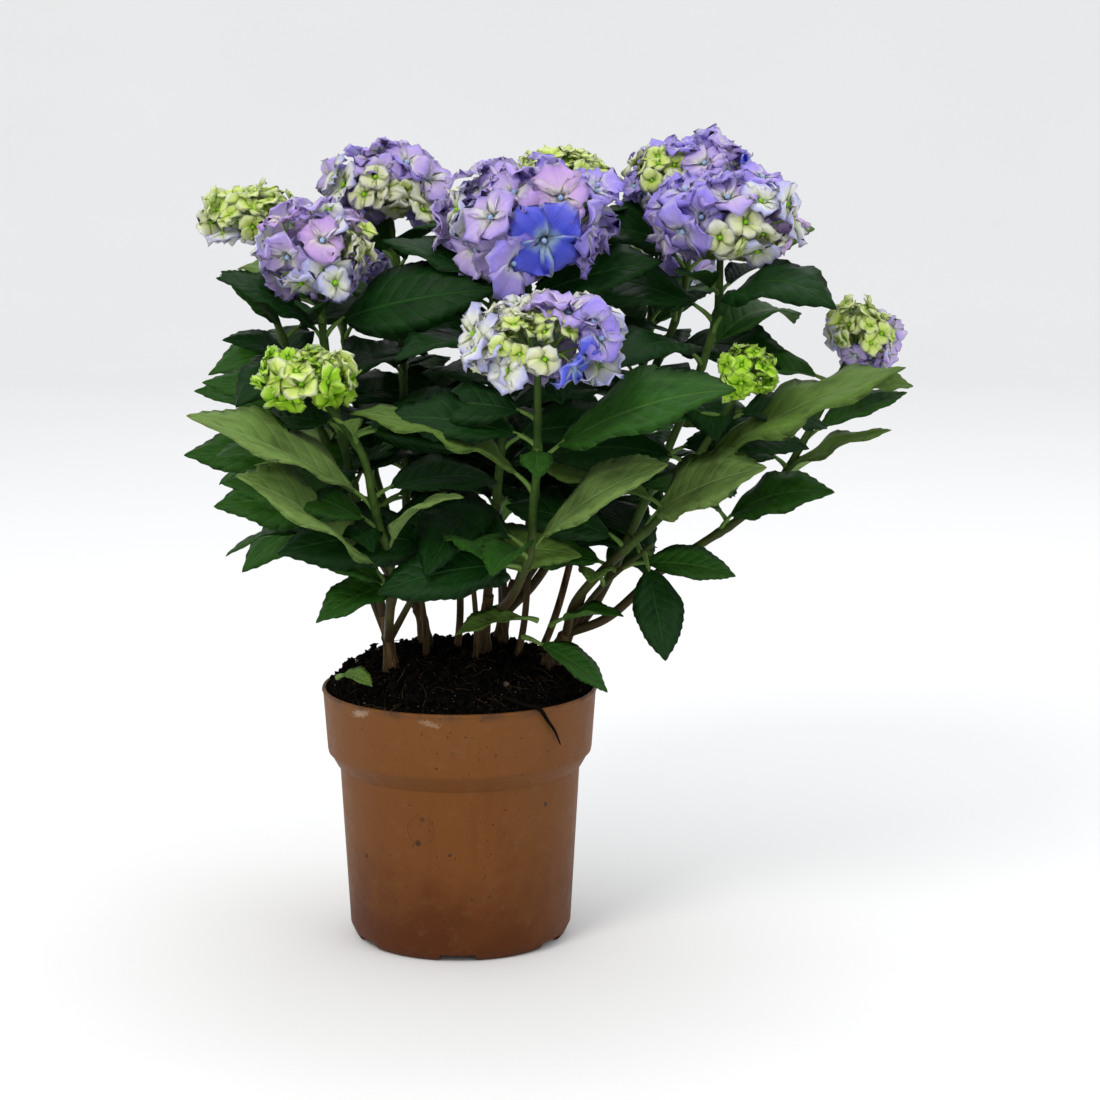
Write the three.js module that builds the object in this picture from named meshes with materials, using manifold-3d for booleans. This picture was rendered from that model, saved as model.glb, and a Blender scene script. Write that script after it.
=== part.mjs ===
// A hydrangea shrub in a plastic nursery pot.
//
// Millimetres, +Z up. The origin is the centre of the pot's flat underside, +X is to the right and -Y is the
// side from which the shrub is usually seen. The canes stand in the potting soil, each shoot forks from a
// cane and runs up to its own mass of leaves, and a domed flower head sits over each mass.

import * as THREE from "three";
import { mergeVertices } from "three/addons/utils/BufferGeometryUtils.js";
import Module from "manifold-3d";

const wasm = await Module();
wasm.setup();

// ---------------------------------------------------------------- driving dimensions

const GAP = 0.3; // between touching pieces
const TURN = 2 * Math.PI;

const pot = {
  height: 130,
  rimRadius: 70,
  bandFootRadius: 67.2, // the rim band's lower edge
  bandHeight: 32.5,
  stepHeight: 8.5, // the slope from the band down to the body
  bodyTopRadius: 61.2,
  footRadius: 54.8,
  edgeRadius: 4, // rounding between the body and the underside
  wall: 1.5,
  sides: 36,
  slots: 6, // drain slots round the lower edge
  slotWidth: 18,
  slotHeight: 3.6,
  slotInnerRadius: 42,
};

const soil = {
  brimDrop: 2.5, // how far the soil lies below the rim where it meets the pot
  moundHeight: 17,
  moundCentre: new THREE.Vector2(0, 12),
  roughness: 1.4,
  rings: 5,
  sides: pot.sides / 2, // every second corner of the pot's
};

const cane = { footRadius: 4.4, tipRadius: 3.2, flare: 1.7, flareHeight: 7, sides: 7, steps: 4 };
const shoot = { footRadius: 2.7, tipRadius: 2, sides: 5, steps: 6, shownLength: 16 };
const crownFloor = 182; // the leaf masses over the pot stay above this height
const coreShare = 0.6; // of a leaf mass's reach

// Woody canes: where each stands in the soil, and where its top is.
const canes = [
  { name: "left", foot: [-34, -16], top: [-37, -18, 166] },
  { name: "middle", foot: [12, 8], top: [14, -4, 172] },
  { name: "right", foot: [44, -6], top: [60, -8, 161] },
  { name: "back_left", foot: [-18, 26], top: [-26, 34, 170] },
  { name: "back_right", foot: [20, 38], top: [28, 46, 170] },
];

// Flowering shoots: the cane that each forks from, the middle and size of its flower head, and the middle of
// the leaf mass below the head. The reach is how far the longest leaf comes from there, the phase is the
// compass angle of that leaf in degrees from +X, and the lift is its slope. The lean is the slope of a flower
// head that faces outwards.
const shoots = [
  { name: "front_centre", cane: "middle", head: [40, -105, 313], size: [74, 68, 46],
    leaves: [40, -86, 240], reach: 76, phase: 194, lift: 16 },
  { name: "front_left", cane: "left", head: [-69, -85, 296], size: [50, 47, 31],
    leaves: [-56, -66, 244], reach: 64, phase: 200, lift: 20 },
  { name: "front_right", cane: "right", head: [140, -70, 298], size: [28, 28, 26],
    leaves: [128, -58, 247], reach: 84, core: 37, phase: -4, lift: 24 },
  { name: "centre", cane: "middle", head: [34, -25, 365], size: [95, 86, 58],
    leaves: [26, -16, 304], reach: 78, phase: 165, lift: 12 },
  { name: "left", cane: "left", head: [-68, -20, 348], size: [58, 56, 54],
    leaves: [-60, -10, 292], reach: 68, phase: 172, lift: 12 },
  { name: "far_left", cane: "back_left", head: [-105, 45, 363], size: [58, 56, 32],
    leaves: [-90, 40, 306], reach: 62, core: 33, phase: 182, lift: 50 },
  { name: "left_back", cane: "back_left", head: [-38, 50, 377], size: [62, 60, 44],
    leaves: [-32, 46, 318], reach: 70, phase: 130, lift: 10 },
  { name: "centre_back", cane: "back_right", head: [54, 60, 380], size: [66, 60, 36],
    leaves: [44, 56, 318], reach: 66, phase: 80, lift: 10 },
  { name: "right_back", cane: "back_right", head: [114, 55, 379], size: [86, 76, 48],
    leaves: [104, 52, 312], reach: 72, phase: 30, lift: 12 },
  { name: "right", cane: "right", head: [131, -15, 363], size: [78, 74, 50],
    leaves: [124, -10, 304], reach: 78, phase: -6, lift: 24 },
  { name: "far_right", cane: "right", head: [202, 10, 306], size: [46, 44, 29], lean: 32,
    leaves: [176, 4, 268], reach: 54, core: 24, phase: 6, lift: 12 },
  { name: "rear_left", cane: "back_left", head: [-66, 112, 338], size: [64, 62, 42],
    leaves: [-56, 100, 276], reach: 76, phase: 140, lift: 12 },
  { name: "rear_centre", cane: "back_right", head: [18, 128, 346], size: [72, 70, 46],
    leaves: [14, 112, 284], reach: 74, phase: 95, lift: 12 },
  { name: "rear_right", cane: "back_right", head: [102, 118, 336], size: [66, 64, 44],
    leaves: [90, 106, 274], reach: 76, phase: 50, lift: 12 },
];

// Leaf masses low in the shrub, with no flower head.
const lowMasses = [
  { name: "low_left", leaves: [-64, -14, 224], reach: 84, core: 33, phase: 186, lift: 44 },
  { name: "low_front", leaves: [0, -40, 206], reach: 44, phase: 225, lift: -6 },
  { name: "low_right", leaves: [94, -22, 212], reach: 72, core: 32, phase: -40, lift: -76, floor: 141 },
  { name: "low_back", leaves: [16, 62, 232], reach: 60, phase: 70, lift: -6 },
  { name: "low_back_left", leaves: [-48, 50, 236], reach: 62, phase: 150, lift: 6 },
  { name: "low_back_right", leaves: [84, 56, 234], reach: 62, phase: 30, lift: 6 },
];

// ---------------------------------------------------------------- materials

const finish = (color, roughness) => new THREE.MeshStandardMaterial({ color, roughness, metalness: 0 });
const materials = {
  pot: finish(0xa5663c, 0.5),
  soil: finish(0x17130f, 0.95),
  bark: finish(0x6b4a2c, 0.85),
  greenStem: finish(0x4f7d2e, 0.6),
  leaf: finish(0x1f4a1f, 0.5),
  petal: finish(0x8f7fd0, 0.7),
  greenHead: finish(0xa4d044, 0.7),
};
const greenHeads = ["front_left", "front_right"];

// ---------------------------------------------------------------- solids and shapes

// A geometry with one vertex at each place.
function welded(geometry) {
  geometry.deleteAttribute("normal");
  geometry.deleteAttribute("uv");
  return mergeVertices(geometry, 1e-4);
}

// A closed geometry as a manifold-3d solid.
function solidOf(geometry) {
  const closed = welded(geometry.clone());
  return new wasm.Manifold(
    new wasm.Mesh({
      numProp: 3,
      vertProperties: closed.attributes.position.array,
      triVerts: new Uint32Array(closed.index.array),
    }),
  );
}

// A manifold-3d solid as a geometry.
function geometryOf(solid) {
  const mesh = solid.getMesh();
  return new THREE.BufferGeometry()
    .setAttribute("position", new THREE.BufferAttribute(mesh.vertProperties, 3))
    .setIndex(new THREE.BufferAttribute(mesh.triVerts, 1));
}

// A profile of [radius, height] points turned about +Z. The profile runs from the axis, below, outside and
// back to the axis above, so that the faces point out.
function turned(profile, sides) {
  const points = profile.map(([radius, height]) => new THREE.Vector2(radius, height));
  return new THREE.LatheGeometry(points, sides).rotateX(Math.PI / 2);
}

// Moves every vertex of a geometry to the place that a function gives for it.
function reshaped(geometry, place) {
  const at = geometry.attributes.position;
  const point = new THREE.Vector3();
  for (let i = 0; i < at.count; i++) {
    point.fromBufferAttribute(at, i);
    place(point);
    at.setXYZ(i, point.x, point.y, point.z);
  }
  return geometry;
}

// A tapering limb along a curve: a cylinder of unit height, bent.
function limb(curve, radiusAt, sides, steps) {
  const frames = curve.computeFrenetFrames(steps);
  return reshaped(new THREE.CylinderGeometry(1, 1, 1, sides, steps), (point) => {
    const share = point.y + 0.5;
    const step = Math.round(share * steps);
    const radius = radiusAt(share);
    const across = frames.binormals[step].clone().multiplyScalar(point.x * radius);
    const along = frames.normals[step].clone().multiplyScalar(point.z * radius);
    point.copy(curve.getPointAt(share)).add(across).add(along);
  });
}

// A smooth, uneven value from about -1 to 1 for each place, the same each time.
function uneven(x, y, z) {
  return (Math.sin(x * 1.7 + z * 2.3) + Math.sin(y * 2.9 - x * 1.1) + Math.sin(z * 3.1 + y * 1.3)) / 3;
}

// ---------------------------------------------------------------- pot and soil

const bandFootZ = pot.height - pot.bandHeight;
const bodyTopZ = bandFootZ - pot.stepHeight;

// The pot's side from the rounded lower edge up to the rim, moved inwards by a distance.
function potSide(inset) {
  return [
    [pot.footRadius - inset, pot.edgeRadius],
    [pot.bodyTopRadius - inset, bodyTopZ],
    [pot.bandFootRadius - inset, bandFootZ],
    [pot.rimRadius - inset, pot.height],
  ];
}

function makePot() {
  const edge = [];
  for (let i = 0; i < 3; i++) {
    const angle = (Math.PI / 2) * (i / 3);
    edge.push([
      pot.footRadius - pot.edgeRadius + pot.edgeRadius * Math.sin(angle),
      pot.edgeRadius - pot.edgeRadius * Math.cos(angle),
    ]);
  }
  const inner = potSide(pot.wall).reverse();
  inner[inner.length - 1] = [pot.footRadius - pot.wall - 1, pot.wall];
  const shell = solidOf(turned([[0, 0], ...edge, ...potSide(0), ...inner, [0, pot.wall]], pot.sides));
  const depth = pot.footRadius + pot.wall - pot.slotInnerRadius;
  let cut = shell;
  for (let i = 0; i < pot.slots; i++) {
    const slot = new THREE.BoxGeometry(pot.slotWidth, depth, 2 * pot.slotHeight);
    slot.translate(0, -(pot.slotInnerRadius + depth / 2), 0).rotateZ((i / pot.slots) * TURN);
    cut = cut.subtract(solidOf(slot));
  }
  return geometryOf(cut);
}

// The height of the soil's surface over a place in the pot.
function soilTop(x, y) {
  const away = Math.hypot(x - soil.moundCentre.x, y - soil.moundCentre.y) / pot.rimRadius;
  const mound = soil.moundHeight * Math.max(0, 1 - away ** 4);
  const rim = Math.hypot(x, y) / pot.rimRadius;
  const rough = soil.roughness * uneven(x / 9, y / 9, 0);
  return pot.height - soil.brimDrop + (mound + rough) * Math.max(0, 1 - rim ** 24);
}

function makeSoil() {
  const inset = pot.wall + GAP;
  const side = potSide(inset).slice(0, 3);
  side[0] = [pot.footRadius - inset - 2.2, inset];
  const surface = [];
  const brim = pot.rimRadius - inset - GAP;
  for (let i = 0; i < soil.rings; i++) surface.push([brim * (1 - (i / soil.rings) ** 1.8), pot.height]);
  const filling = turned([[0, inset], ...side, ...surface, [0, pot.height]], soil.sides);
  reshaped(filling, (point) => {
    if (point.z > pot.height - 1) point.z = soilTop(point.x, point.y);
  });
  let ground = solidOf(filling);
  for (const { foot } of canes) {
    const room = cane.footRadius + cane.flare + 1;
    const seat = new THREE.CylinderGeometry(room, room, 2 * room, cane.sides).rotateX(Math.PI / 2);
    seat.translate(foot[0], foot[1], soilTop(...foot) - GAP + room);
    ground = ground.subtract(solidOf(seat));
  }
  return geometryOf(ground);
}

// ---------------------------------------------------------------- leaf masses and flower heads

const compass = (degrees, slope) => {
  const turn = THREE.MathUtils.degToRad(degrees);
  const rise = THREE.MathUtils.degToRad(slope);
  return new THREE.Vector3(Math.cos(turn) * Math.cos(rise), Math.sin(turn) * Math.cos(rise), Math.sin(rise));
};

// The ways in which a mass's leaves point: the longest first, then one across from it, then lower pairs, each
// turned about a quarter from the one above.
function leafWays(phase, lift, pairs) {
  const ways = [compass(phase, lift), compass(phase + 180, lift / 2)];
  for (let pair = 1; pair < pairs; pair++)
    for (const side of [0, 180]) ways.push(compass(phase + side + 62 * pair, -16 * pair));
  return ways;
}

// A mass of leaves is a core with a blunt lobe along each leaf.
function leafMass(one, pairs, detail) {
  const { name, leaves, reach, core = reach * coreShare, phase, lift, floor = crownFloor } = one;
  const lobeWidth = 0.42; // radians
  const ways = leafWays(phase, lift, pairs);
  const reachOf = (i) => (i ? core + 0.6 * Math.min(reach - core, core) : reach);
  return {
    name: "leaves_" + name,
    centre: new THREE.Vector3(...leaves),
    weight: core * 0.7,
    floor,
    detail,
    radius: (way) => {
      const near = (leaf) => Math.exp(-((way.angleTo(leaf) / lobeWidth) ** 2));
      const lobes = ways.map((leaf, i) => (reachOf(i) - core) * near(leaf));
      const bumps = 0.07 * uneven(way.x * 3 + phase, way.y * 3, way.z * 3 + reach);
      return core * (1 + bumps) + Math.max(...lobes);
    },
  };
}

// A flower head is a dome, flatter below. One that leans faces away from the middle of the shrub.
function flowerHead({ name, head, size, lean = 0 }) {
  const [a, b, c] = size.map((side) => side / 2);
  const fullness = 2.4; // 2 is an ellipsoid, more has fuller shoulders
  const hinge = new THREE.Vector3(-head[1], head[0], 0).normalize();
  const upright = new THREE.Quaternion().setFromAxisAngle(hinge, -THREE.MathUtils.degToRad(lean));
  return {
    name: "head_" + name,
    centre: new THREE.Vector3(...head),
    weight: (a + c) / 2,
    detail: 2,
    radius: (way) => {
      const own = way.clone().applyQuaternion(upright);
      const depth = own.z < 0 ? c * 0.85 : c;
      const parts = [own.x / a, own.y / b, own.z / depth].map((part) => Math.abs(part) ** fullness);
      const smooth = parts.reduce((sum, part) => sum + part) ** (-1 / fullness);
      return smooth * (1 + 0.05 * uneven(way.x * 5 + head[0], way.y * 5, way.z * 5));
    },
  };
}

const cells = [
  ...shoots.map((one) => leafMass(one, 3, one.leaves[1] > 42 ? 2 : 3)),
  ...lowMasses.map((one) => leafMass(one, 2, 2)),
  ...shoots.map(flowerHead),
];

// Each cell keeps to its own side of a plane between it and every other cell, so no two overlap. The play
// moves its surface out a little.
function makeCell(cell, play) {
  const walls = [];
  for (const other of cells) {
    if (other === cell) continue;
    const way = other.centre.clone().sub(cell.centre);
    const distance = way.length();
    const share = (distance ** 2 + cell.weight ** 2 - other.weight ** 2) / (2 * distance);
    if (share < 8) throw new Error(cell.name + " has no room beside " + other.name);
    walls.push({ way: way.normalize(), at: share - GAP / 2 + play });
  }
  if (cell.floor) walls.push({ way: new THREE.Vector3(0, 0, -1), at: cell.centre.z - cell.floor + play });
  return reshaped(welded(new THREE.IcosahedronGeometry(1, cell.detail)), (point) => {
    const way = point.clone().normalize();
    let radius = cell.radius(way) + play;
    for (const wall of walls) {
      const towards = way.dot(wall.way);
      if (towards > 1e-6) radius = Math.min(radius, wall.at / towards);
    }
    point.copy(way).multiplyScalar(radius).add(cell.centre);
  });
}

// ---------------------------------------------------------------- canes and shoots

const caneNamed = Object.fromEntries(canes.map((one) => [one.name, one]));
const footOf = ({ foot }) => new THREE.Vector3(foot[0], foot[1], soilTop(...foot));

// The play moves a cane's surface out a little.
function makeCane(one, play) {
  const foot = footOf(one);
  const top = new THREE.Vector3(...one.top);
  top.z += play;
  const knee = new THREE.Vector3(foot.x, foot.y, (foot.z + top.z) / 2);
  const curve = new THREE.QuadraticBezierCurve3(foot, knee, top);
  const length = curve.getLength();
  const radiusAt = (share) =>
    THREE.MathUtils.lerp(cane.footRadius, cane.tipRadius, share) +
    cane.flare * Math.max(0, 1 - (share * length) / cane.flareHeight) ** 2 +
    play;
  return limb(curve, radiusAt, cane.sides, cane.steps);
}

// The last shoot of a cane goes on from its top. The others fork from its sides, each on the side that it
// heads for, and all run through the middle of their leaf mass into their flower head.
function shootCurve(one, order, siblings) {
  const top = new THREE.Vector3(...caneNamed[one.cane].top);
  const foot = footOf(caneNamed[one.cane]);
  const head = new THREE.Vector3(...one.head);
  const leaves = new THREE.Vector3(...one.leaves);
  const heading = leaves.clone().sub(top).setZ(0).normalize();
  const forks = order < siblings - 1;
  const start = top.clone();
  if (forks) {
    start.lerp(foot, 0.18 + 0.16 * order);
    start.addScaledVector(heading, cane.footRadius + shoot.footRadius + GAP);
  }
  const knee = start.clone().lerp(leaves, 0.35);
  knee.z += 0.14 * (leaves.z - start.z);
  return new THREE.CatmullRomCurve3([start, knee, leaves, head]);
}

// A whole shoot, with its surface moved out by the play.
function makeShoot(curve, play) {
  const radiusAt = (share) => THREE.MathUtils.lerp(shoot.footRadius, shoot.tipRadius, share) + play;
  return solidOf(limb(curve, radiusAt, shoot.sides, shoot.steps));
}

// The pieces of a shoot that show outside the other solids, from the lowest up.
function shootPieces(curve, others) {
  const left = wasm.Manifold.difference([makeShoot(curve, 0), ...others]);
  const section = Math.PI * shoot.tipRadius ** 2;
  const pieces = left.decompose().sort((a, b) => a.boundingBox().min[2] - b.boundingBox().min[2]);
  return pieces.filter((piece, i) => piece.volume() > section * (i ? shoot.shownLength : GAP));
}

// ---------------------------------------------------------------- the shrub

const shrub = new THREE.Group();
function add(name, geometry, material) {
  const mesh = new THREE.Mesh(geometry, material);
  mesh.name = name;
  shrub.add(mesh);
}

add("pot", makePot(), materials.pot);
add("soil", makeSoil(), materials.soil);
for (const one of canes) add("cane_" + one.name, makeCane(one, 0), materials.bark);

for (const cell of cells) {
  const isHead = cell.name.startsWith("head_");
  const isGreen = greenHeads.some((name) => cell.name === "head_" + name);
  const headMaterial = isGreen ? materials.greenHead : materials.petal;
  add(cell.name, makeCell(cell, 0), isHead ? headMaterial : materials.leaf);
}

const grownCells = cells.map((cell) => makeCell(cell, GAP));
const grownCanes = canes.map((one) => makeCane(one, GAP));
const others = [...grownCells, ...grownCanes].map(solidOf);
for (const { name } of canes) {
  const siblings = shoots.filter((one) => one.cane === name);
  siblings.forEach((one, order) => {
    const curve = shootCurve(one, order, siblings.length);
    const pieces = shootPieces(curve, others);
    others.push(makeShoot(curve, GAP));
    if (!pieces.length) throw new Error("shoot " + one.name + " has no room below the leaves");
    pieces.forEach((piece, i) => {
      const suffix = i ? "_length" + (i + 1) : "";
      add("shoot_" + one.name + suffix, geometryOf(piece), materials.greenStem);
    });
  });
}

export default shrub;
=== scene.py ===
"""A hydrangea shrub in a plastic nursery pot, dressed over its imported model.

Each group of pieces is one operator of the add-on below, and main() calls them in order. Sizes are in metres
and angles in radians unless a name or comment says otherwise. Up is +Z, and the shrub's front faces -Y.
"""

import math
import zlib
from collections import namedtuple
from types import SimpleNamespace

import bmesh
import bpy
import numpy as np
from mathutils import Matrix, Vector, noise


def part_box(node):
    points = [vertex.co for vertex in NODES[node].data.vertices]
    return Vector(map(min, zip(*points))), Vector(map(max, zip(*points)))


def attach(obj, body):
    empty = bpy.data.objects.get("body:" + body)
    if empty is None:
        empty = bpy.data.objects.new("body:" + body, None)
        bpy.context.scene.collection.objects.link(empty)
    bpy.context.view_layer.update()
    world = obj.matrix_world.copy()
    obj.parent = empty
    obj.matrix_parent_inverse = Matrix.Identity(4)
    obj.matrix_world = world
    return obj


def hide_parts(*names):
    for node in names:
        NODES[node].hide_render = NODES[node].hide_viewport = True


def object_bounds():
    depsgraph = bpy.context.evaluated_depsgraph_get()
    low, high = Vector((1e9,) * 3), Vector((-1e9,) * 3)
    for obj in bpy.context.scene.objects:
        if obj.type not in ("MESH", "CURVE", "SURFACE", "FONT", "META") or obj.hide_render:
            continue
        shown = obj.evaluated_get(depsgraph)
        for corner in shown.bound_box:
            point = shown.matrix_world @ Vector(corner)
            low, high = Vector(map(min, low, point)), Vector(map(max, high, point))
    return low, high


bl_info = {
    "name": "Potted hydrangea",
    "version": (1, 0, 0),
    "blender": (4, 5, 0),
    "location": "View3D > Sidebar > Hydrangea",
    "description": "Builds the pot, the stems, the leaves and the flower heads of a potted hydrangea",
    "category": "Add Mesh",
}

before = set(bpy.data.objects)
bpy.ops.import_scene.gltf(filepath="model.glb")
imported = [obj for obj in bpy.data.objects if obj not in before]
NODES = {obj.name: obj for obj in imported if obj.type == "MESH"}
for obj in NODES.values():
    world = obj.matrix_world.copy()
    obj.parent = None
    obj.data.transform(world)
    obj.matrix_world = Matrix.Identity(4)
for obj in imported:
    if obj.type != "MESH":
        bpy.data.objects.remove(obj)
CAD_BOX = [[float(x) for x in corner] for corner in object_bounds()]
MM = 0.001
TURN = 2 * math.pi
UP = np.array([0.0, 0.0, 1.0])
FRONT = np.array([0.0, -1.0, 0.0])
UV_MAP = "OFBake"  # the map that the leaf and petal patterns are drawn on

# ---------- the plan

# A leaf of a shoot. drop is how far below the flower head it leaves the stem and length its blade's, in mm.
# compass is where it points, rise its mean slope, face how far its upper side turns to the front and droop
# how far it bends down from foot to tip, in degrees.
# tone is partly the blade's own green and partly painted shade and light: darker for a leaf in shade, lighter
# for one in the light.
Leaf = namedtuple("Leaf", "drop compass rise length face tone droop", defaults=(10.0, None, None))

# The leaves of the near and side shoots and of two low ones, set one by one, each as the values of a Leaf.
# The other shoots follow grown_leaves() and low_leaves().
SET_LEAVES = {
    "front_centre": [
        (34, 160, 2, 56, 40, "deep", 40),
        (60, -14, 24, 96, 34, "mid", 36),
        (48, 178, 8, 66, 40, "deep", 40),
        (50, 268, -12, 34, 0, "mid", 20),
        (74, 186, 24, 86, 14, "fresh", 40),
        (112, -20, 36, 86, 36, "pale", 28),
        (112, 255, 0, 50, 10, "mid", 40),
        (108, 150, 6, 70, 44, "deep", 50),
        (118, 205, -12, 66, 56, "deep", 44),
    ],
    "front_left": [
        (30, 150, -2, 50, 50, "deep", 40),
        (32, -4, -8, 48, 50, "deep", 46),
        (36, 262, 20, 34, 10, "fresh", 30),
        (74, 196, 30, 112, 24, "pale", 16),
        (66, 30, 4, 60, 40, "deep", 40),
        (88, 182, 24, 74, 30, "mid", 34),
        (98, -34, 34, 52, 20, "pale", 60),
        (122, 200, 42, 104, 38, "pale", 20),
        (116, 30, 0, 60, 54, "deep", 50),
        (124, 190, 30, 44, 46, "mid", 60),
        (104, 130, 6, 80, 30, "deep", 50),
    ],
    "front_right": [
        (26, 176, -14, 44, 46, "mid", 40),
        (30, 20, -6, 50, 40, "deep", 40),
        (66, -8, 28, 116, 20, "fresh", 26),
        (56, 170, 2, 66, 40, "deep", 46),
        (98, -18, 34, 72, 56, "pale", 40),
        (82, 168, 18, 60, 20, "fresh", 20),
        (112, 170, 20, 56, 40, "deep", 40),
    ],
    "far_right": [
        (22, 168, 4, 44, 30, "mid", 40),
        (30, 10, 8, 38, 30, "fresh", 30),
        (56, 12, 24, 50, 24, "mid", 20),
        (70, 190, 20, 52, 34, "deep", 40),
        (86, -12, 28, 62, 16, "fresh", 30),
        (112, 200, 30, 56, 36, "mid", 50),
        (118, -14, 30, 64, 40, "mid", 44),
        (150, 165, 10, 50, 34, "deep", 44),
    ],
    "right": [
        (28, 60, 10, 44),
        (28, 240, 14, 42),
        (50, -44, 14, 84, 46, "deep", 104),
        (42, 174, 10, 84, 30, "deep", 60),
        (64, 52, 10, 80, 30),
        (64, 236, 4, 74, 40, "deep", 60),
        (88, 110, 0, 80, 30),
        (90, 284, -4, 62, 50, "deep", 60),
        (112, 172, -6, 74, 30, "deep", 50),
        (114, -14, 4, 66, 30, "deep", 50),
        (136, 52, -8, 70, 30),
    ],
    "left": [
        (28, 100, 16, 44),
        (28, 262, 10, 40, 40, "deep"),
        (36, -8, 20, 86, 58, "deep", 46),
        (40, 186, 34, 58, 30, "deep", 50),
        (62, 236, 0, 70, 40, "deep", 60),
        (62, 60, 6, 76, 30, "deep", 50),
        (86, 184, 26, 68, 30, "mid", 40),
        (88, 0, 0, 78, 50, "deep", 50),
        (110, 250, -4, 66, 44, "deep", 60),
        (112, 76, 0, 76, 30, "deep", 50),
        (134, 190, 14, 70, 40, "mid", 50),
        (136, 10, -6, 70, 40, "deep", 50),
    ],
    "far_left": [
        (30, 250, 10, 40, 30, "deep"),
        (30, 80, 20, 44),
        (56, 178, 56, 76, 34, "mid", 26),
        (58, 20, 10, 60, 30, "deep", 60),
        (78, 262, 6, 62, 40, "deep", 50),
        (80, 110, 10, 76, 30, "deep", 50),
        (92, 200, 40, 66, 34, "deep", 60),
        (98, 30, 0, 66, 30, "deep", 50),
        (112, 180, 24, 74, 30, "mid", 30),
        (118, 80, 0, 80, 30, "deep", 50),
        (136, 200, 10, 76, 40, "mid", 40),
        (140, 100, -4, 76, 30, "deep", 50),
    ],
    "low_right": [
        (6, -78, -56, 50, 30, "deep", 22),
        (8, 110, 10, 66, 20, "deep", 40),
        (20, -10, -10, 48, 40, "mid", 40),
        (24, 170, 6, 58, 30, "mid", 40),
        (34, -100, 10, 40, 10, "fresh", 40),
        (36, 60, 10, 50, 10, "mid", 40),
    ],
    "low_front": [
        (4, -70, 4, 56, 0, "mid", 40),
        (6, 200, 0, 78, 46, "deep", 44),
        (14, -10, 4, 62, 30, "fresh", 30),
        (20, 100, 10, 60, 10, "deep", 40),
        (26, 20, -2, 46, 10, "pale", 20),
        (32, 215, -14, 54, 30, "mid", 40),
    ],
}

# The bends of the stems in front, from the lowest up, in mm.
STEM_BENDS = {
    "front_centre": [(26, -44, 182), (36, -62, 208), (38, -74, 233), (40, -84, 259)],
    "front_left": [(-33, -46, 172), (-31, -54, 194), (-34, -62, 213), (-39, -72, 237), (-44, -80, 261)],
    "front_right": [
        *[(59, -26, 178), (75, -34, 198), (95, -42, 218)],
        *[(107, -48, 233), (119, -54, 257), (130, -60, 276)],
    ],
    "far_right": [
        *[(76, -14, 168), (101, -10, 190), (123, -6, 204)],
        *[(144, 0, 217), (161, 4, 233), (172, 8, 250)],
    ],
}

# Where the upper pair of leaves points on each shoot that grows by rule, as a compass angle.
FIRST_PAIR = {
    "centre": 176,
    "left_back": 130,
    "centre_back": 80,
    "right_back": 30,
    "rear_left": 140,
    "rear_centre": 95,
    "rear_right": 50,
}

# A flower head. largest and smallest are its flowers' sizes in mm, young is the way that its unopened side
# faces, and young_share how much of it is still small and green. colours are those of the open flowers, and
# lean tips the dome to the right, in degrees. grown are the few widest flowers: a way, a size and a colour.
HEAD_VALUES = "largest young young_share colours smallest lean grown"
Head = namedtuple("Head", HEAD_VALUES, defaults=(13.0, 0.0, ()))

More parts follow.
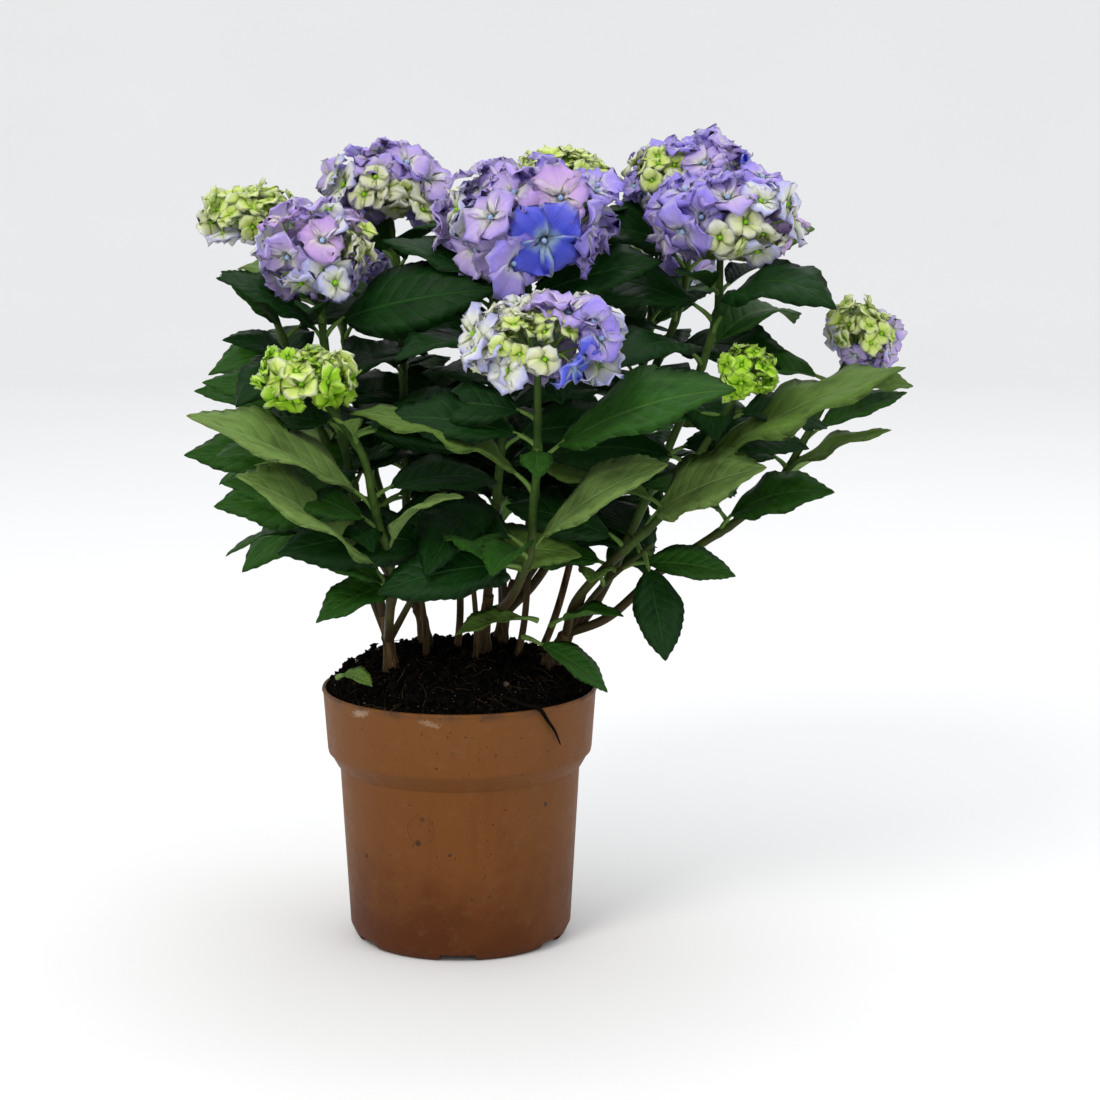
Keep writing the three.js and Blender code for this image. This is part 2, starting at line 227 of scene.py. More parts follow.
HEADS = {
    "front_centre": Head(
        27, (-0.2, -0.6, 0.5), 0.20, ("pale", "cream", "pale", "lilac", "pale"), 11,
        grown=(
            ((0.50, -0.78, -0.42), 31, "blue"),
            ((0.42, -0.35, 0.80), 33, "lilac"),
            ((0.86, -0.42, 0.20), 27, "violet"),
            ((-0.80, -0.55, 0.05), 27, "pale"),
        ),
    ),
    "front_left": Head(20, (0.2, 0.2, 1), 0.35, ("lime", "lime", "green", "lime"), 12),
    "front_right": Head(15, (0, 0, 1), 0.4, ("lime",), 11),
    "centre": Head(
        33, (-0.3, 0.5, 0.7), 0.10, ("lilac", "violet", "lilac", "violet", "lilac"),
        grown=(
            ((0.20, -0.88, -0.30), 42, "blue"),
            ((0.70, -0.66, -0.15), 34, "violet"),
            ((-0.35, -0.85, 0.10), 33, "lilac"),
            ((0.35, -0.70, 0.45), 33, "pink"),
            ((-0.86, -0.30, 0.25), 30, "pale"),
        ),
    ),
    "left": Head(
        27, (0.8, -0.2, 0.4), 0.15, ("lilac", "pink", "lilac", "pale"),
        grown=(((-0.30, -0.75, -0.62), 27, "pale"), ((-0.62, -0.70, 0.0), 29, "lilac")),
    ),
    "far_left": Head(21, (0.3, -0.4, 0.8), 0.62, ("cream", "pale", "lilac", "pale"), 15),
    "left_back": Head(
        29, (0.5, -0.8, -0.2), 0.12, ("violet", "lilac", "violet", "lilac"),
        grown=(
            ((0.98, -0.30, 0.30), 31, "lilac"),
            ((0.80, -0.62, -0.20), 27, "cream"),
            ((-0.90, -0.40, 0.10), 28, "pale"),
        ),
    ),
    "centre_back": Head(22, (0.1, -0.6, 0.7), 0.85, ("cream", "pale", "lilac"), 15),
    "right_back": Head(
        27, (-0.5, -0.6, 0.3), 0.15, ("violet", "lilac", "violet", "lilac"),
        grown=(((0.9, -0.30, 0.30), 30, "blue"), ((0.2, -0.75, 0.55), 29, "lilac")),
    ),
    "right": Head(
        30, (0.35, -0.85, -0.35), 0.15, ("lilac", "violet", "pink", "lilac"),
        grown=(
            ((-0.60, -0.75, -0.10), 33, "violet"),
            ((0.0, -0.62, 0.62), 31, "lilac"),
            ((0.9, -0.3, 0.1), 28, "pale"),
        ),
    ),
    "far_right": Head(19, (-0.45, -0.55, 0.7), 0.55, ("cream", "lilac", "lilac"), 13, 32),
    "rear_left": Head(28, (0.3, 0.6, 0.4), 0.22, ("lilac", "violet", "pink", "lilac")),
    "rear_centre": Head(30, (-0.2, 0.3, 0.8), 0.16, ("violet", "lilac", "blue", "violet")),
    "rear_right": Head(27, (0.1, 0.4, 0.9), 0.35, ("lilac", "pale", "lilac", "violet")),
}

# ---------- vectors and ways


def draw_for(name):
    """A random draw that is the same for the same name each time."""
    return np.random.default_rng(zlib.crc32(name.encode()))


def unit(v):
    v = np.asarray(v, float)
    return v / np.maximum(np.linalg.norm(v, axis=-1, keepdims=True), 1e-12)


def compass_way(degrees):
    turn = math.radians(degrees)
    return np.array([math.cos(turn), math.sin(turn), 0.0])


def basis(along, up):
    """Three axes as rows: along, across to the left, and the upward side."""
    x = unit(along)
    y = unit(np.cross(up, x))
    return np.array([x, y, np.cross(x, y)])


class Way:
    """A smooth line through a few points. A share is how far along it, from 0 to 1."""

    def __init__(self, points, samples=60):
        points = np.array(points, float)
        ends = [2 * points[0] - points[1], *points, 2 * points[-1] - points[-2]]
        spans = len(points) - 1
        t = np.linspace(0, spans, samples)
        i = np.minimum(t.astype(int), spans - 1)
        f = (t - i)[:, None]
        a, b, c, d = (np.array(ends)[i + k] for k in range(4))
        square = 2 * a - 5 * b + 4 * c - d
        cubic = 3 * b - a - 3 * c + d
        self.places = 0.5 * (2 * b + (c - a) * f + square * f**2 + cubic * f**3)
        runs = np.linalg.norm(np.diff(self.places, axis=0), axis=1)
        self.length = float(runs.sum())
        self.shares = np.concatenate([[0], np.cumsum(runs)]) / self.length
        self.along = unit(np.gradient(self.places, axis=0))
        side = np.cross(self.along[0], [0.3, 1.0, 0.2])
        sides = []
        for tangent in self.along:
            side = unit(side - tangent * side.dot(tangent))
            sides.append(side)
        self.sides = np.array(sides)

    def _at(self, values, share):
        return np.stack([np.interp(share, self.shares, column) for column in values.T], -1)

    def at(self, share):
        return self._at(self.places, share)

    def tangent(self, share):
        return unit(self._at(self.along, share))

    def side(self, share):
        return unit(self._at(self.sides, share))


# ---------- shapes and meshes


def arrays_of(bm):
    """A small shape as arrays: its vertices, its faces' corners, and how many corners each face has."""
    bm.verts.index_update()
    shape = SimpleNamespace(
        verts=np.array([v.co for v in bm.verts]),
        loops=np.array([v.index for f in bm.faces for v in f.verts]),
        totals=np.array([len(f.verts) for f in bm.faces]),
    )
    bm.free()
    shape.face_of_loop = np.repeat(np.arange(len(shape.totals)), shape.totals)
    return shape


def sheet_shape(rows, columns):
    """A closed sheet of two layers that meet at their edge. A vertex is (u, v, layer): u from 0 to 1 along
    the sheet, v from -1 to 1 across it, and the layer 1 above, -1 below and 0 at the edge."""
    bm = bmesh.new()
    bmesh.ops.create_grid(bm, x_segments=rows, y_segments=columns, size=0.5)
    edge = {v for v in bm.verts if v.is_boundary}
    edge_places = {tuple(v.co.xy) for v in edge}
    below = bmesh.ops.duplicate(bm, geom=bm.verts[:] + bm.edges[:] + bm.faces[:])["geom"]
    bmesh.ops.reverse_faces(bm, faces=[g for g in below if isinstance(g, bmesh.types.BMFace)])
    lower = {g for g in below if isinstance(g, bmesh.types.BMVert)}
    for v in bm.verts:
        layer = 0 if tuple(v.co.xy) in edge_places else (-1 if v in lower else 1)
        v.co = (v.co.x + 0.5, 2 * v.co.y, layer)
    bmesh.ops.remove_doubles(bm, verts=bm.verts[:], dist=1e-4)
    shape = arrays_of(bm)
    heights = np.add.reduceat(shape.verts[shape.loops, 2], np.cumsum(shape.totals) - shape.totals)
    shape.upper = heights > 0
    shape.rows = rows
    return shape


def tube_shape(sides, rings):
    """A closed tube of radius 1 about +Z, with z from 0 to 1 as the share of its length."""
    bm = bmesh.new()
    bmesh.ops.create_cone(bm, cap_ends=True, segments=sides, radius1=1, radius2=1, depth=1)
    upright = [e for e in bm.edges if abs(e.verts[0].co.z - e.verts[1].co.z) > 0.5]
    bmesh.ops.subdivide_edges(bm, edges=upright, cuts=rings - 1, use_grid_fill=True)
    bmesh.ops.translate(bm, verts=bm.verts[:], vec=(0, 0, 0.5))
    return arrays_of(bm)


def ball_shape(steps):
    """A closed ball of radius 1 about the origin."""
    bm = bmesh.new()
    bmesh.ops.create_icosphere(bm, subdivisions=steps, radius=1)
    return arrays_of(bm)


class Heap:
    """Gathers shapes and joins them into one mesh."""

    def __init__(self):
        self.count = 0
        self.parts = []

    def add(self, shape, verts, slots, uvs=None):
        """verts are the shape's moved vertices, slots its faces' materials and uvs its corners' places."""
        slots = np.broadcast_to(slots, len(shape.totals))
        if uvs is None:
            uvs = np.zeros((len(shape.loops), 2))
        self.parts.append((verts, shape.loops + self.count, shape.totals, slots, uvs))
        self.count += len(verts)

    def add_tube(self, shape, way, radius, slot=0, relief=None):
        self.add(shape, bent_tube(shape, way, radius, relief), slot)

    def build(self, name, materials):
        verts, loops, totals, slots, uvs = (np.concatenate(column) for column in zip(*self.parts))
        mesh = bpy.data.meshes.new(name)
        mesh.vertices.add(len(verts))
        mesh.vertices.foreach_set("co", verts.astype(np.float32).ravel())
        mesh.loops.add(len(loops))
        mesh.loops.foreach_set("vertex_index", loops.astype(np.int32))
        mesh.polygons.add(len(totals))
        mesh.polygons.foreach_set("loop_start", (np.cumsum(totals) - totals).astype(np.int32))
        layer = mesh.uv_layers.new(name=UV_MAP)
        layer.uv.foreach_set("vector", uvs.astype(np.float32).ravel())
        mesh.update(calc_edges=True)
        mesh.shade_smooth()
        used, slots = np.unique(slots, return_inverse=True)
        mesh.polygons.foreach_set("material_index", slots.astype(np.int32))
        for slot in used:
            mesh.materials.append(materials[slot])
        return object_for(mesh, name)


def object_for(data, name):
    """An object in the scene for a mesh, a light or a camera."""
    made = bpy.data.objects.new(name, data)
    bpy.context.scene.collection.objects.link(made)
    return made


def object_of(bm, name):
    mesh = bpy.data.meshes.new(name)
    bm.to_mesh(mesh)
    bm.free()
    return object_for(mesh, name)


def spun_shell(profile, steps):
    """An outline of (radius, height) pairs, spun about +Z."""
    bm = bmesh.new()
    line = [bm.verts.new((radius, 0, z)) for radius, z in profile]
    edges = [bm.edges.new(pair) for pair in zip(line, line[1:])]
    full = {"cent": (0, 0, 0), "axis": (0, 0, 1), "angle": TURN, "use_merge": True}
    bmesh.ops.spin(bm, geom=line + edges, steps=steps, **full)
    return bm


def bent_tube(shape, way, radius, relief=None):
    """The tube's vertices laid along a way. radius is a function of the share of the length, and relief one
    of the share and of the angle round the tube."""
    x, y, share = shape.verts.T
    angle = np.arctan2(y, x)
    thick = radius(share)
    if relief is not None:
        thick = thick * (1 + relief(share, angle))
    side = way.side(share)
    other = np.cross(way.tangent(share), side)
    out = np.cos(angle)[:, None] * side + np.sin(angle)[:, None] * other
    return way.at(share) + out * (np.hypot(x, y) * thick)[:, None]


def finish_piece(piece, slot_name, *nodes):
    """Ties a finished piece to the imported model."""
    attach(piece, "root")
    if nodes:
        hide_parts(*nodes)


def node_points(name):
    """The places of a node's vertices."""
    mesh = NODES[name].data
    found = np.empty(3 * len(mesh.vertices))
    mesh.vertices.foreach_get("co", found)
    return found.reshape(-1, 3)


def end_of(name, top):
    """The middle of the upper or lower end of a stem's node."""
    points = node_points(name)
    z = points[:, 2]
    reach = 1.5 * MM
    near = z > z.max() - reach if top else z < z.min() + reach
    return points[near].mean(0)


def box_of(name):
    """The lowest and highest corner of a node."""
    low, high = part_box(name)
    return np.array(low), np.array(high)


def middle_of(name):
    """A node's middle: halfway from its box's centre to the mean of its vertices."""
    points = np.unique(node_points(name).round(6), axis=0)
    low, high = box_of(name)
    return 0.5 * points.mean(0) + 0.25 * (low + high)


# ---------- materials


PLAIN_SOCKETS = {
    "specular": "Specular IOR Level",
    "soft": "Subsurface Weight",
    "soft_reach": "Subsurface Scale",
    "soft_colours": "Subsurface Radius",
}


class Nodes:
    """Makes a material's nodes in few words."""

    def __init__(self, name):
        self.material = bpy.data.materials.new(name)
        self.material.use_nodes = True
        self.tree = self.material.node_tree
        self.shader = self.tree.nodes["Principled BSDF"]

    def node(self, kind, inputs=None, **settings):
        made = self.tree.nodes.new("ShaderNode" + kind)
        for name, value in settings.items():
            setattr(made, name, value)
        for key, value in (inputs or {}).items():
            self.set(made.inputs[key], value)
        return made

    def set(self, socket, value):
        if isinstance(value, bpy.types.NodeSocket):
            self.tree.links.new(value, socket)
        elif isinstance(value, (tuple, list)) and len(value) == 3 and socket.type == "RGBA":
            socket.default_value = (*value, 1)
        else:
            socket.default_value = value

    def place(self):
        """Where a point is on the piece, in metres."""
        return self.node("TexCoord").outputs["Object"]

    def height(self, place):
        return self.node("SeparateXYZ", {0: place}).outputs["Z"]

    def maths(self, operation, a, b=0.0):
        return self.node("Math", {0: a, 1: b}, operation=operation).outputs[0]

    def times(self, a, b):
        return self.maths("MULTIPLY", a, b)

    def plus(self, a, b):
        return self.maths("ADD", a, b)

    def less(self, a, b):
        return self.maths("SUBTRACT", a, b)

    def size(self, a):
        return self.maths("ABSOLUTE", a)

    def most(self, a, b):
        return self.maths("MAXIMUM", a, b)

    def vector(self, operation, a, b=(0, 0, 0), output="Vector"):
        return self.node("VectorMath", {0: a, 1: b}, operation=operation).outputs[output]

    def stretched(self, vector, scale):
        return self.node("Mapping", {"Vector": vector, "Scale": scale}).outputs[0]

    def ramp(self, factor, stops):
        """A colour for a factor, eased between stops of a place and a colour."""
        made = self.node("ValToRGB", {"Fac": factor})
        ramp = made.color_ramp
        ramp.interpolation = "EASE"
        for i, (place, colour) in enumerate(stops):
            stop = ramp.elements[i] if i < 2 else ramp.elements.new(place)
            stop.position = place
            stop.color = (*colour, 1)
        return made.outputs["Color"]

    def away(self, place, centre):
        return self.vector("DISTANCE", place, centre, "Value")

    def mix(self, factor, a, b):
        made = self.node("Mix", data_type="RGBA", clamp_factor=True)
        self.set(made.inputs["Factor"], factor)
        self.set(made.inputs[6], a)
        self.set(made.inputs[7], b)
        return made.outputs[2]

    def noise(self, vector, scale, detail=3.0, roughness=0.5, stretch=None):
        if stretch:
            vector = self.stretched(vector, stretch)
        inputs = {"Vector": vector, "Scale": scale, "Detail": detail, "Roughness": roughness}
        return self.node("TexNoise", inputs).outputs["Fac"]

    def cell_edges(self, vector, scale):
        """How far a point is from the nearest edge between two cells."""
        found = self.node("TexVoronoi", {"Vector": vector, "Scale": scale}, feature="DISTANCE_TO_EDGE")
        return found.outputs["Distance"]

    def level(self, value, low, high, to_low=0.0, to_high=1.0):
        """value from low to high as a value from to_low to to_high."""
        inputs = {"Value": value, "From Min": low, "From Max": high, "To Min": to_low, "To Max": to_high}
        return self.node("MapRange", inputs, clamp=True).outputs["Result"]

    def bump(self, height, strength, distance, normal=None):
        inputs = {"Height": height, "Strength": strength, "Distance": distance}
        if normal is not None:
            inputs["Normal"] = normal
        return self.node("Bump", inputs).outputs["Normal"]

    def done(self, colour, roughness, normal=None, **plain):
        """The finished material. plain are sockets of the shader with one value all over."""
        self.set(self.shader.inputs["Base Color"], colour)
        self.set(self.shader.inputs["Roughness"], roughness)
        if normal is not None:
            self.set(self.shader.inputs["Normal"], normal)
        for name, value in plain.items():
            self.shader.inputs[PLAIN_SOCKETS[name]].default_value = value
        return self.material


TILES = 4  # the patterns' map is cut into this many tiles each way, one for each material
TILE_MARGIN = 0.02  # the share of a tile that is left free at each edge


def tile_of(slot):
    return (slot % TILES) / TILES, (slot // TILES) / TILES


def tile_places(shape, slots):
    """Where each corner of a sheet lies on the map, in its own material's tile."""
    u = shape.verts[shape.loops, 0]
    v = shape.verts[shape.loops, 1] * 0.5 + 0.5
    slot = np.broadcast_to(slots, len(shape.totals))[shape.face_of_loop]
    inside = TILE_MARGIN + (1 - 2 * TILE_MARGIN) * np.stack([u, v], 1)
    return (inside + np.stack([slot % TILES, slot // TILES], 1)) / TILES


def tile_coordinates(nodes, slot):
    """u and v of a sheet from its tile on the map."""
    uv = nodes.node("UVMap", uv_map=UV_MAP).outputs["UV"]
    scale = TILES / (1 - 2 * TILE_MARGIN)
    low = [x + TILE_MARGIN / TILES for x in tile_of(slot)]
    moved = nodes.vector("SUBTRACT", uv, (*low, 0))
    local = nodes.vector("MULTIPLY", moved, (scale, scale, 1))
    parts = nodes.node("SeparateXYZ", {0: local})
    return local, parts.outputs["X"], parts.outputs["Y"]


VEIN_PAIRS = 9
VEIN_SWEEP = 0.24  # how far a side vein runs towards the tip on its way to the edge, as a share of the length
GREEN_GLOSS = 0.12  # the specular level of what is alive


def leaf_material(name, slot, blade, vein, roughness, under=False):
    """A leaf's skin: a pale midrib and side veins, a fine net between them, and lighter or darker patches."""
    nodes = Nodes(name)
    local, u, v = tile_coordinates(nodes, slot)
    across = nodes.times(nodes.size(nodes.less(v, 0.5)), 2.0)
    swept = nodes.less(u, nodes.times(across, VEIN_SWEEP))
    turn = nodes.maths("FRACT", nodes.times(swept, float(VEIN_PAIRS)))
    gap = nodes.size(nodes.less(turn, 0.5))
    side_vein = nodes.level(gap, 0.43, 0.5)
    midrib = nodes.level(across, 0.055, 0.012)
    wet = nodes.noise(local, 5.0, 4.0, 0.6, (1.0, 1.6, 1.0))
    net = nodes.cell_edges(local, 34.0)
    veins = nodes.most(midrib, nodes.times(side_vein, 0.55 if under else 0.42))
    veins = nodes.most(veins, nodes.times(nodes.level(net, 0.12, 0.0), 0.16))
    dark = tuple(x * 0.62 for x in blade)
    light = tuple(min(x * 1.35 + 0.004, 1) for x in blade)
    patches = nodes.ramp(wet, [(0.3, dark), (0.52, blade), (0.75, light)])
    patches = nodes.mix(nodes.level(across, 0.9, 1.0, 0.0, 0.35), patches, light)
    colour = nodes.mix(veins, patches, vein)
    pillow = nodes.less(1.0, nodes.maths("POWER", nodes.times(gap, 2.0), 2.5))
    lift = nodes.less(pillow, nodes.times(midrib, 1.5))
    height = nodes.plus(lift, nodes.times(nodes.level(net, 0.0, 0.25), 0.22))
    if under:
        height = nodes.times(height, -1.0)
    normal = nodes.bump(height, 0.5, 0.6 * MM)
    rough = nodes.level(wet, 0.3, 0.7, roughness - 0.07, roughness + 0.08)
    return nodes.done(colour, rough, normal, specular=0.07 if under else GREEN_GLOSS)


# The tones are partly the leaves' own greens, paler when young, and partly painted shade and light: deep for
# a leaf in shade, fresh and pale for one in the light.
LEAF_TONES = {
    # tone: roughness, upper blade and its veins, under blade and its veins
    "deep": (
        *(0.48, (0.0035, 0.028, 0.0025), (0.013, 0.058, 0.008)),
        *((0.011, 0.052, 0.006), (0.04, 0.105, 0.018)),
    ),
    "mid": (0.50, (0.018, 0.076, 0.006), (0.046, 0.125, 0.018), (0.044, 0.118, 0.015), (0.092, 0.185, 0.038)),
    "fresh": (0.53, (0.088, 0.160, 0.026), (0.13, 0.215, 0.05), (0.118, 0.198, 0.042), (0.17, 0.260, 0.078)),
    "pale": (0.56, (0.150, 0.240, 0.058), (0.20, 0.300, 0.095), (0.180, 0.270, 0.080), (0.23, 0.330, 0.120)),
}
TONE_NAMES = list(LEAF_TONES)


def leaf_materials():
    """The leaf materials in slot order: upper and under side of each tone, then the leaf stalk's."""
    made = []
    for tone, (rough, blade, vein, under, under_vein) in LEAF_TONES.items():
        made.append(leaf_material(f"leaf_{tone}_upper", len(made), blade, vein, rough))
        made.append(leaf_material(f"leaf_{tone}_under", len(made), under, under_vein, rough + 0.12, True))
    made.append(stem_material("leaf_stalk", (0.085, 0.165, 0.030), (0.13, 0.22, 0.05)))
    return made


def stem_material(name, low, high, woody=None):
    """A stem's skin: fine streaks along it and small corky spots. woody is its brown lower down."""
    nodes = Nodes(name)
    place = nodes.place()
    tone = nodes.noise(place, 55.0, 4.0, 0.6)
    fine = nodes.noise(place, 900.0, 2.0, 0.5, (1.0, 1.0, 0.25))
    spots = nodes.level(nodes.noise(place, 700.0, 1.0), 0.66, 0.72)
    colour = nodes.ramp(tone, [(0.3, low), (0.7, high)])
    if woody:
        blurred = nodes.plus(nodes.height(place), nodes.level(tone, 0.3, 0.7, -0.015, 0.015))
        colour = nodes.mix(nodes.level(blurred, 0.225, 0.175), colour, woody)
    colour = nodes.mix(nodes.times(spots, 0.6), colour, tuple(0.35 * x for x in low))
    normal = nodes.bump(fine, 0.35, 0.3 * MM)
    rough = nodes.level(fine, 0.3, 0.7, 0.44, 0.58)
    return nodes.done(colour, rough, normal, specular=GREEN_GLOSS)


def bark_material():
    """A cane's bark: long grey-brown strips that peel over a tan layer."""
    nodes = Nodes("bark")
    place = nodes.place()
    strips = nodes.noise(place, 420.0, 5.0, 0.65, (1.0, 1.0, 0.12))
    tone = nodes.noise(place, 70.0, 3.0, 0.6)
    browns = [(0.32, (0.016, 0.009, 0.004)), (0.5, (0.055, 0.032, 0.012)), (0.70, (0.15, 0.090, 0.036))]
    colour = nodes.ramp(strips, browns)
    colour = nodes.mix(nodes.level(tone, 0.42, 0.66, 0.0, 0.6), colour, (0.045, 0.034, 0.016))
    cracks = nodes.cell_edges(nodes.stretched(place, (1, 1, 0.2)), 700.0)
    cracked = nodes.bump(nodes.level(cracks, 0, 0.3), 0.5, 0.4 * MM)
    normal = nodes.bump(strips, 0.9, 0.8 * MM, cracked)
    rough = nodes.level(strips, 0.3, 0.7, 0.95, 0.72)
    return nodes.done(colour, rough, normal, specular=0.12)


PETALS = {
    # colour: near the eye, in the middle and at the rim of a petal
    "lime": ((0.22, 0.50, 0.012), (0.32, 0.66, 0.022), (0.46, 0.78, 0.06)),
    "green": ((0.38, 0.58, 0.05), (0.56, 0.74, 0.14), (0.70, 0.79, 0.34)),
    "cream": ((0.50, 0.64, 0.15), (0.71, 0.76, 0.38), (0.76, 0.77, 0.62)),
    "pale": ((0.56, 0.68, 0.32), (0.72, 0.73, 0.66), (0.44, 0.44, 0.86)),
    "lilac": ((0.70, 0.70, 0.60), (0.51, 0.395, 0.74), (0.38, 0.28, 0.77)),
    "violet": ((0.58, 0.57, 0.68), (0.375, 0.29, 0.76), (0.26, 0.20, 0.79)),
    "pink": ((0.70, 0.62, 0.58), (0.57, 0.38, 0.70), (0.45, 0.27, 0.70)),
    "blue": ((0.30, 0.44, 0.62), (0.065, 0.085, 0.64), (0.11, 0.125, 0.80)),
}
PETAL_NAMES = list(PETALS)
GREENISH = PETAL_NAMES[:4]
PETAL_SKIN = {"specular": GREEN_GLOSS, "soft": 0.5, "soft_reach": 2.5 * MM, "soft_colours": (1, 1, 1)}


def petal_material(name, slot, eye, middle, rim):
    """A petal's skin: its colour runs from the eye to the rim, with fine veins that fan out along it."""
    nodes = Nodes("petal_" + name)
    local, u, v = tile_coordinates(nodes, slot)
    run = nodes.noise(local, 4.0, 3.0, 0.6)
    reach = nodes.plus(u, nodes.level(run, 0.2, 0.8, -0.10, 0.10))
    colour = nodes.ramp(reach, [(0.06, eye), (0.42, middle), (0.92, rim)])
    off = nodes.size(nodes.less(v, 0.5))
    fan = nodes.maths("SINE", nodes.times(v, 95.0))
    lines = nodes.times(nodes.level(fan, 0.55, 1.0), 0.05)
    veins = nodes.most(lines, nodes.times(nodes.level(off, 0.03, 0.0), 0.07))
    colour = nodes.mix(veins, colour, tuple(0.6 * x for x in rim))
    spread = nodes.noise(local, 14.0, 3.0, 0.6)
    colour = nodes.mix(nodes.level(spread, 0.5, 0.75, 0.0, 0.25), colour, middle)
    normal = nodes.bump(nodes.plus(nodes.times(fan, 0.25), run), 0.35, 0.4 * MM)
    return nodes.done(colour, nodes.level(spread, 0.3, 0.7, 0.52, 0.68), normal, **PETAL_SKIN)


def petal_materials():
    """The petal materials in slot order, then the flower stalk's."""
    made = [petal_material(name, i, *tones) for i, (name, tones) in enumerate(PETALS.items())]
    made.append(stem_material("flower_stalk", (0.20, 0.36, 0.06), (0.34, 0.50, 0.14)))
    return made


# ---------- pot and soil

POT_LOW, POT_HIGH = (np.array(corner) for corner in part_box("pot"))
POT_HEIGHT = float(POT_HIGH[2] - POT_LOW[2])
RIM_RADIUS = float(POT_HIGH[0])
WALL = 1.5 * MM
BASE = 3.7 * MM  # the height of the pot's inner floor
POT_STEPS = 144
DRAIN_SLOTS = 6
SHARP_ANGLE = math.radians(42)


def pot_profile(height, rim):
    """The outline of the pot's wall as (radius, height), from the middle of the underside, up the outside,
    over the lip and down the inside."""
    foot = rim - 15.2 * MM
    edge = 4 * MM
    body_top = rim - 8.8 * MM
    band_foot = rim - 2.8 * MM
    body_top_z = height - 41 * MM
    band_foot_z = height - 32.5 * MM
    bead = 1.1 * MM
    return [
        *[(0, 2.2 * MM), (foot - 16 * MM, 2.2 * MM), (foot - 12 * MM, 0), (foot - edge, 0)],
        *round_corner(foot - edge, edge, edge, (-65, -40, -15)),
        *[(foot + 0.45 * edge, 1.8 * edge), (body_top - 0.25 * MM, body_top_z - 3 * MM)],
        *[(body_top, body_top_z), (body_top + 1.4 * MM, body_top_z + 1.3 * MM)],
        *[(band_foot - 1.5 * MM, band_foot_z - 1.6 * MM), (band_foot - 0.2 * MM, band_foot_z - 0.4 * MM)],
        *[(band_foot + 0.1 * MM, band_foot_z + 1.2 * MM), (rim - 0.7 * MM, height - 3.4 * MM)],
        *round_corner(rim - bead, height - bead, bead, (-60, -10, 45, 90, 135, 190)),
        *[(rim - 0.6 * MM - WALL, height - 3.2 * MM), (band_foot - WALL, band_foot_z)],
        *[(body_top - WALL, body_top_z), (foot - WALL, 2 * edge), (foot - edge, BASE), (0, BASE)],
    ]


def round_corner(radius, height, reach, angles):
    """Points on an arc about (radius, height), at angles in degrees."""
    turns = [math.radians(x) for x in angles]
    return [(radius + reach * math.cos(x), height + reach * math.sin(x)) for x in turns]


def make_pot(settings):
    """The pot's shell, spun from its outline, with its drain slots cut."""
    bm = spun_shell(pot_profile(settings.height, settings.rim_radius), POT_STEPS)
    bmesh.ops.remove_doubles(bm, verts=bm.verts[:], dist=1e-6)
    bmesh.ops.recalc_face_normals(bm, faces=bm.faces[:])
    piece = object_of(bm, "pot_shell")
    cut_slots(piece, settings)
    piece.data.shade_smooth()
    piece.data.set_sharp_from_angle(angle=SHARP_ANGLE)
    piece.data.materials.append(pot_material(settings.colour))
    finish_piece(piece, "pot", "pot")


def cut_slots(piece, settings):
    """Cuts the drain slots where the wall meets the underside."""
    bm = bmesh.new()
    depth = 26 * MM
    inner_end = 42 * MM
    for i in range(DRAIN_SLOTS):
        made = bmesh.ops.create_cube(bm, size=1)["verts"]
        bmesh.ops.scale(bm, vec=(settings.slot_width, depth, 7.2 * MM), verts=made)
        bmesh.ops.translate(bm, vec=(0, -inner_end - 0.5 * depth, 0), verts=made)
        turned = Matrix.Rotation(TURN * i / DRAIN_SLOTS, 3, "Z")
        bmesh.ops.rotate(bm, verts=made, cent=(0, 0, 0), matrix=turned)
    cutter = object_of(bm, "slot_cutter")
    cut = piece.modifiers.new("slots", "BOOLEAN")
    cut.object = cutter
    cut.operation = "DIFFERENCE"
    cut.solver = "EXACT"
    settle(piece)
    bpy.data.objects.remove(cutter)


def settle(piece):
    """Applies the modifiers that a piece has."""
    graph = bpy.context.evaluated_depsgraph_get()
    done = bpy.data.meshes.new_from_object(piece.evaluated_get(graph))
    piece.modifiers.clear()
    piece.data = done


def spot(nodes, place, centre, reach):
    """1 within reach of a point, falling softly to 0 past it."""
    return nodes.level(nodes.away(place, centre), 1.35 * reach, 0.65 * reach)


def scratch(nodes, place, centre, length, width, lean):
    """A short mark on the wall: 1 along it and 0 past it."""
    moved = nodes.vector("SUBTRACT", place, centre)
    turned = nodes.node("VectorRotate", {"Vector": moved, "Angle": lean}, rotation_type="Y_AXIS").outputs[0]
    squeezed = nodes.stretched(turned, (1 / length, 1 / length, 1 / width))
    away = nodes.vector("LENGTH", squeezed, output="Value")
    ragged = nodes.level(nodes.noise(place, 900.0, 2.0), 0.3, 0.7, -0.45, 0.45)
    return nodes.level(nodes.plus(away, ragged), 1.0, 0.55)


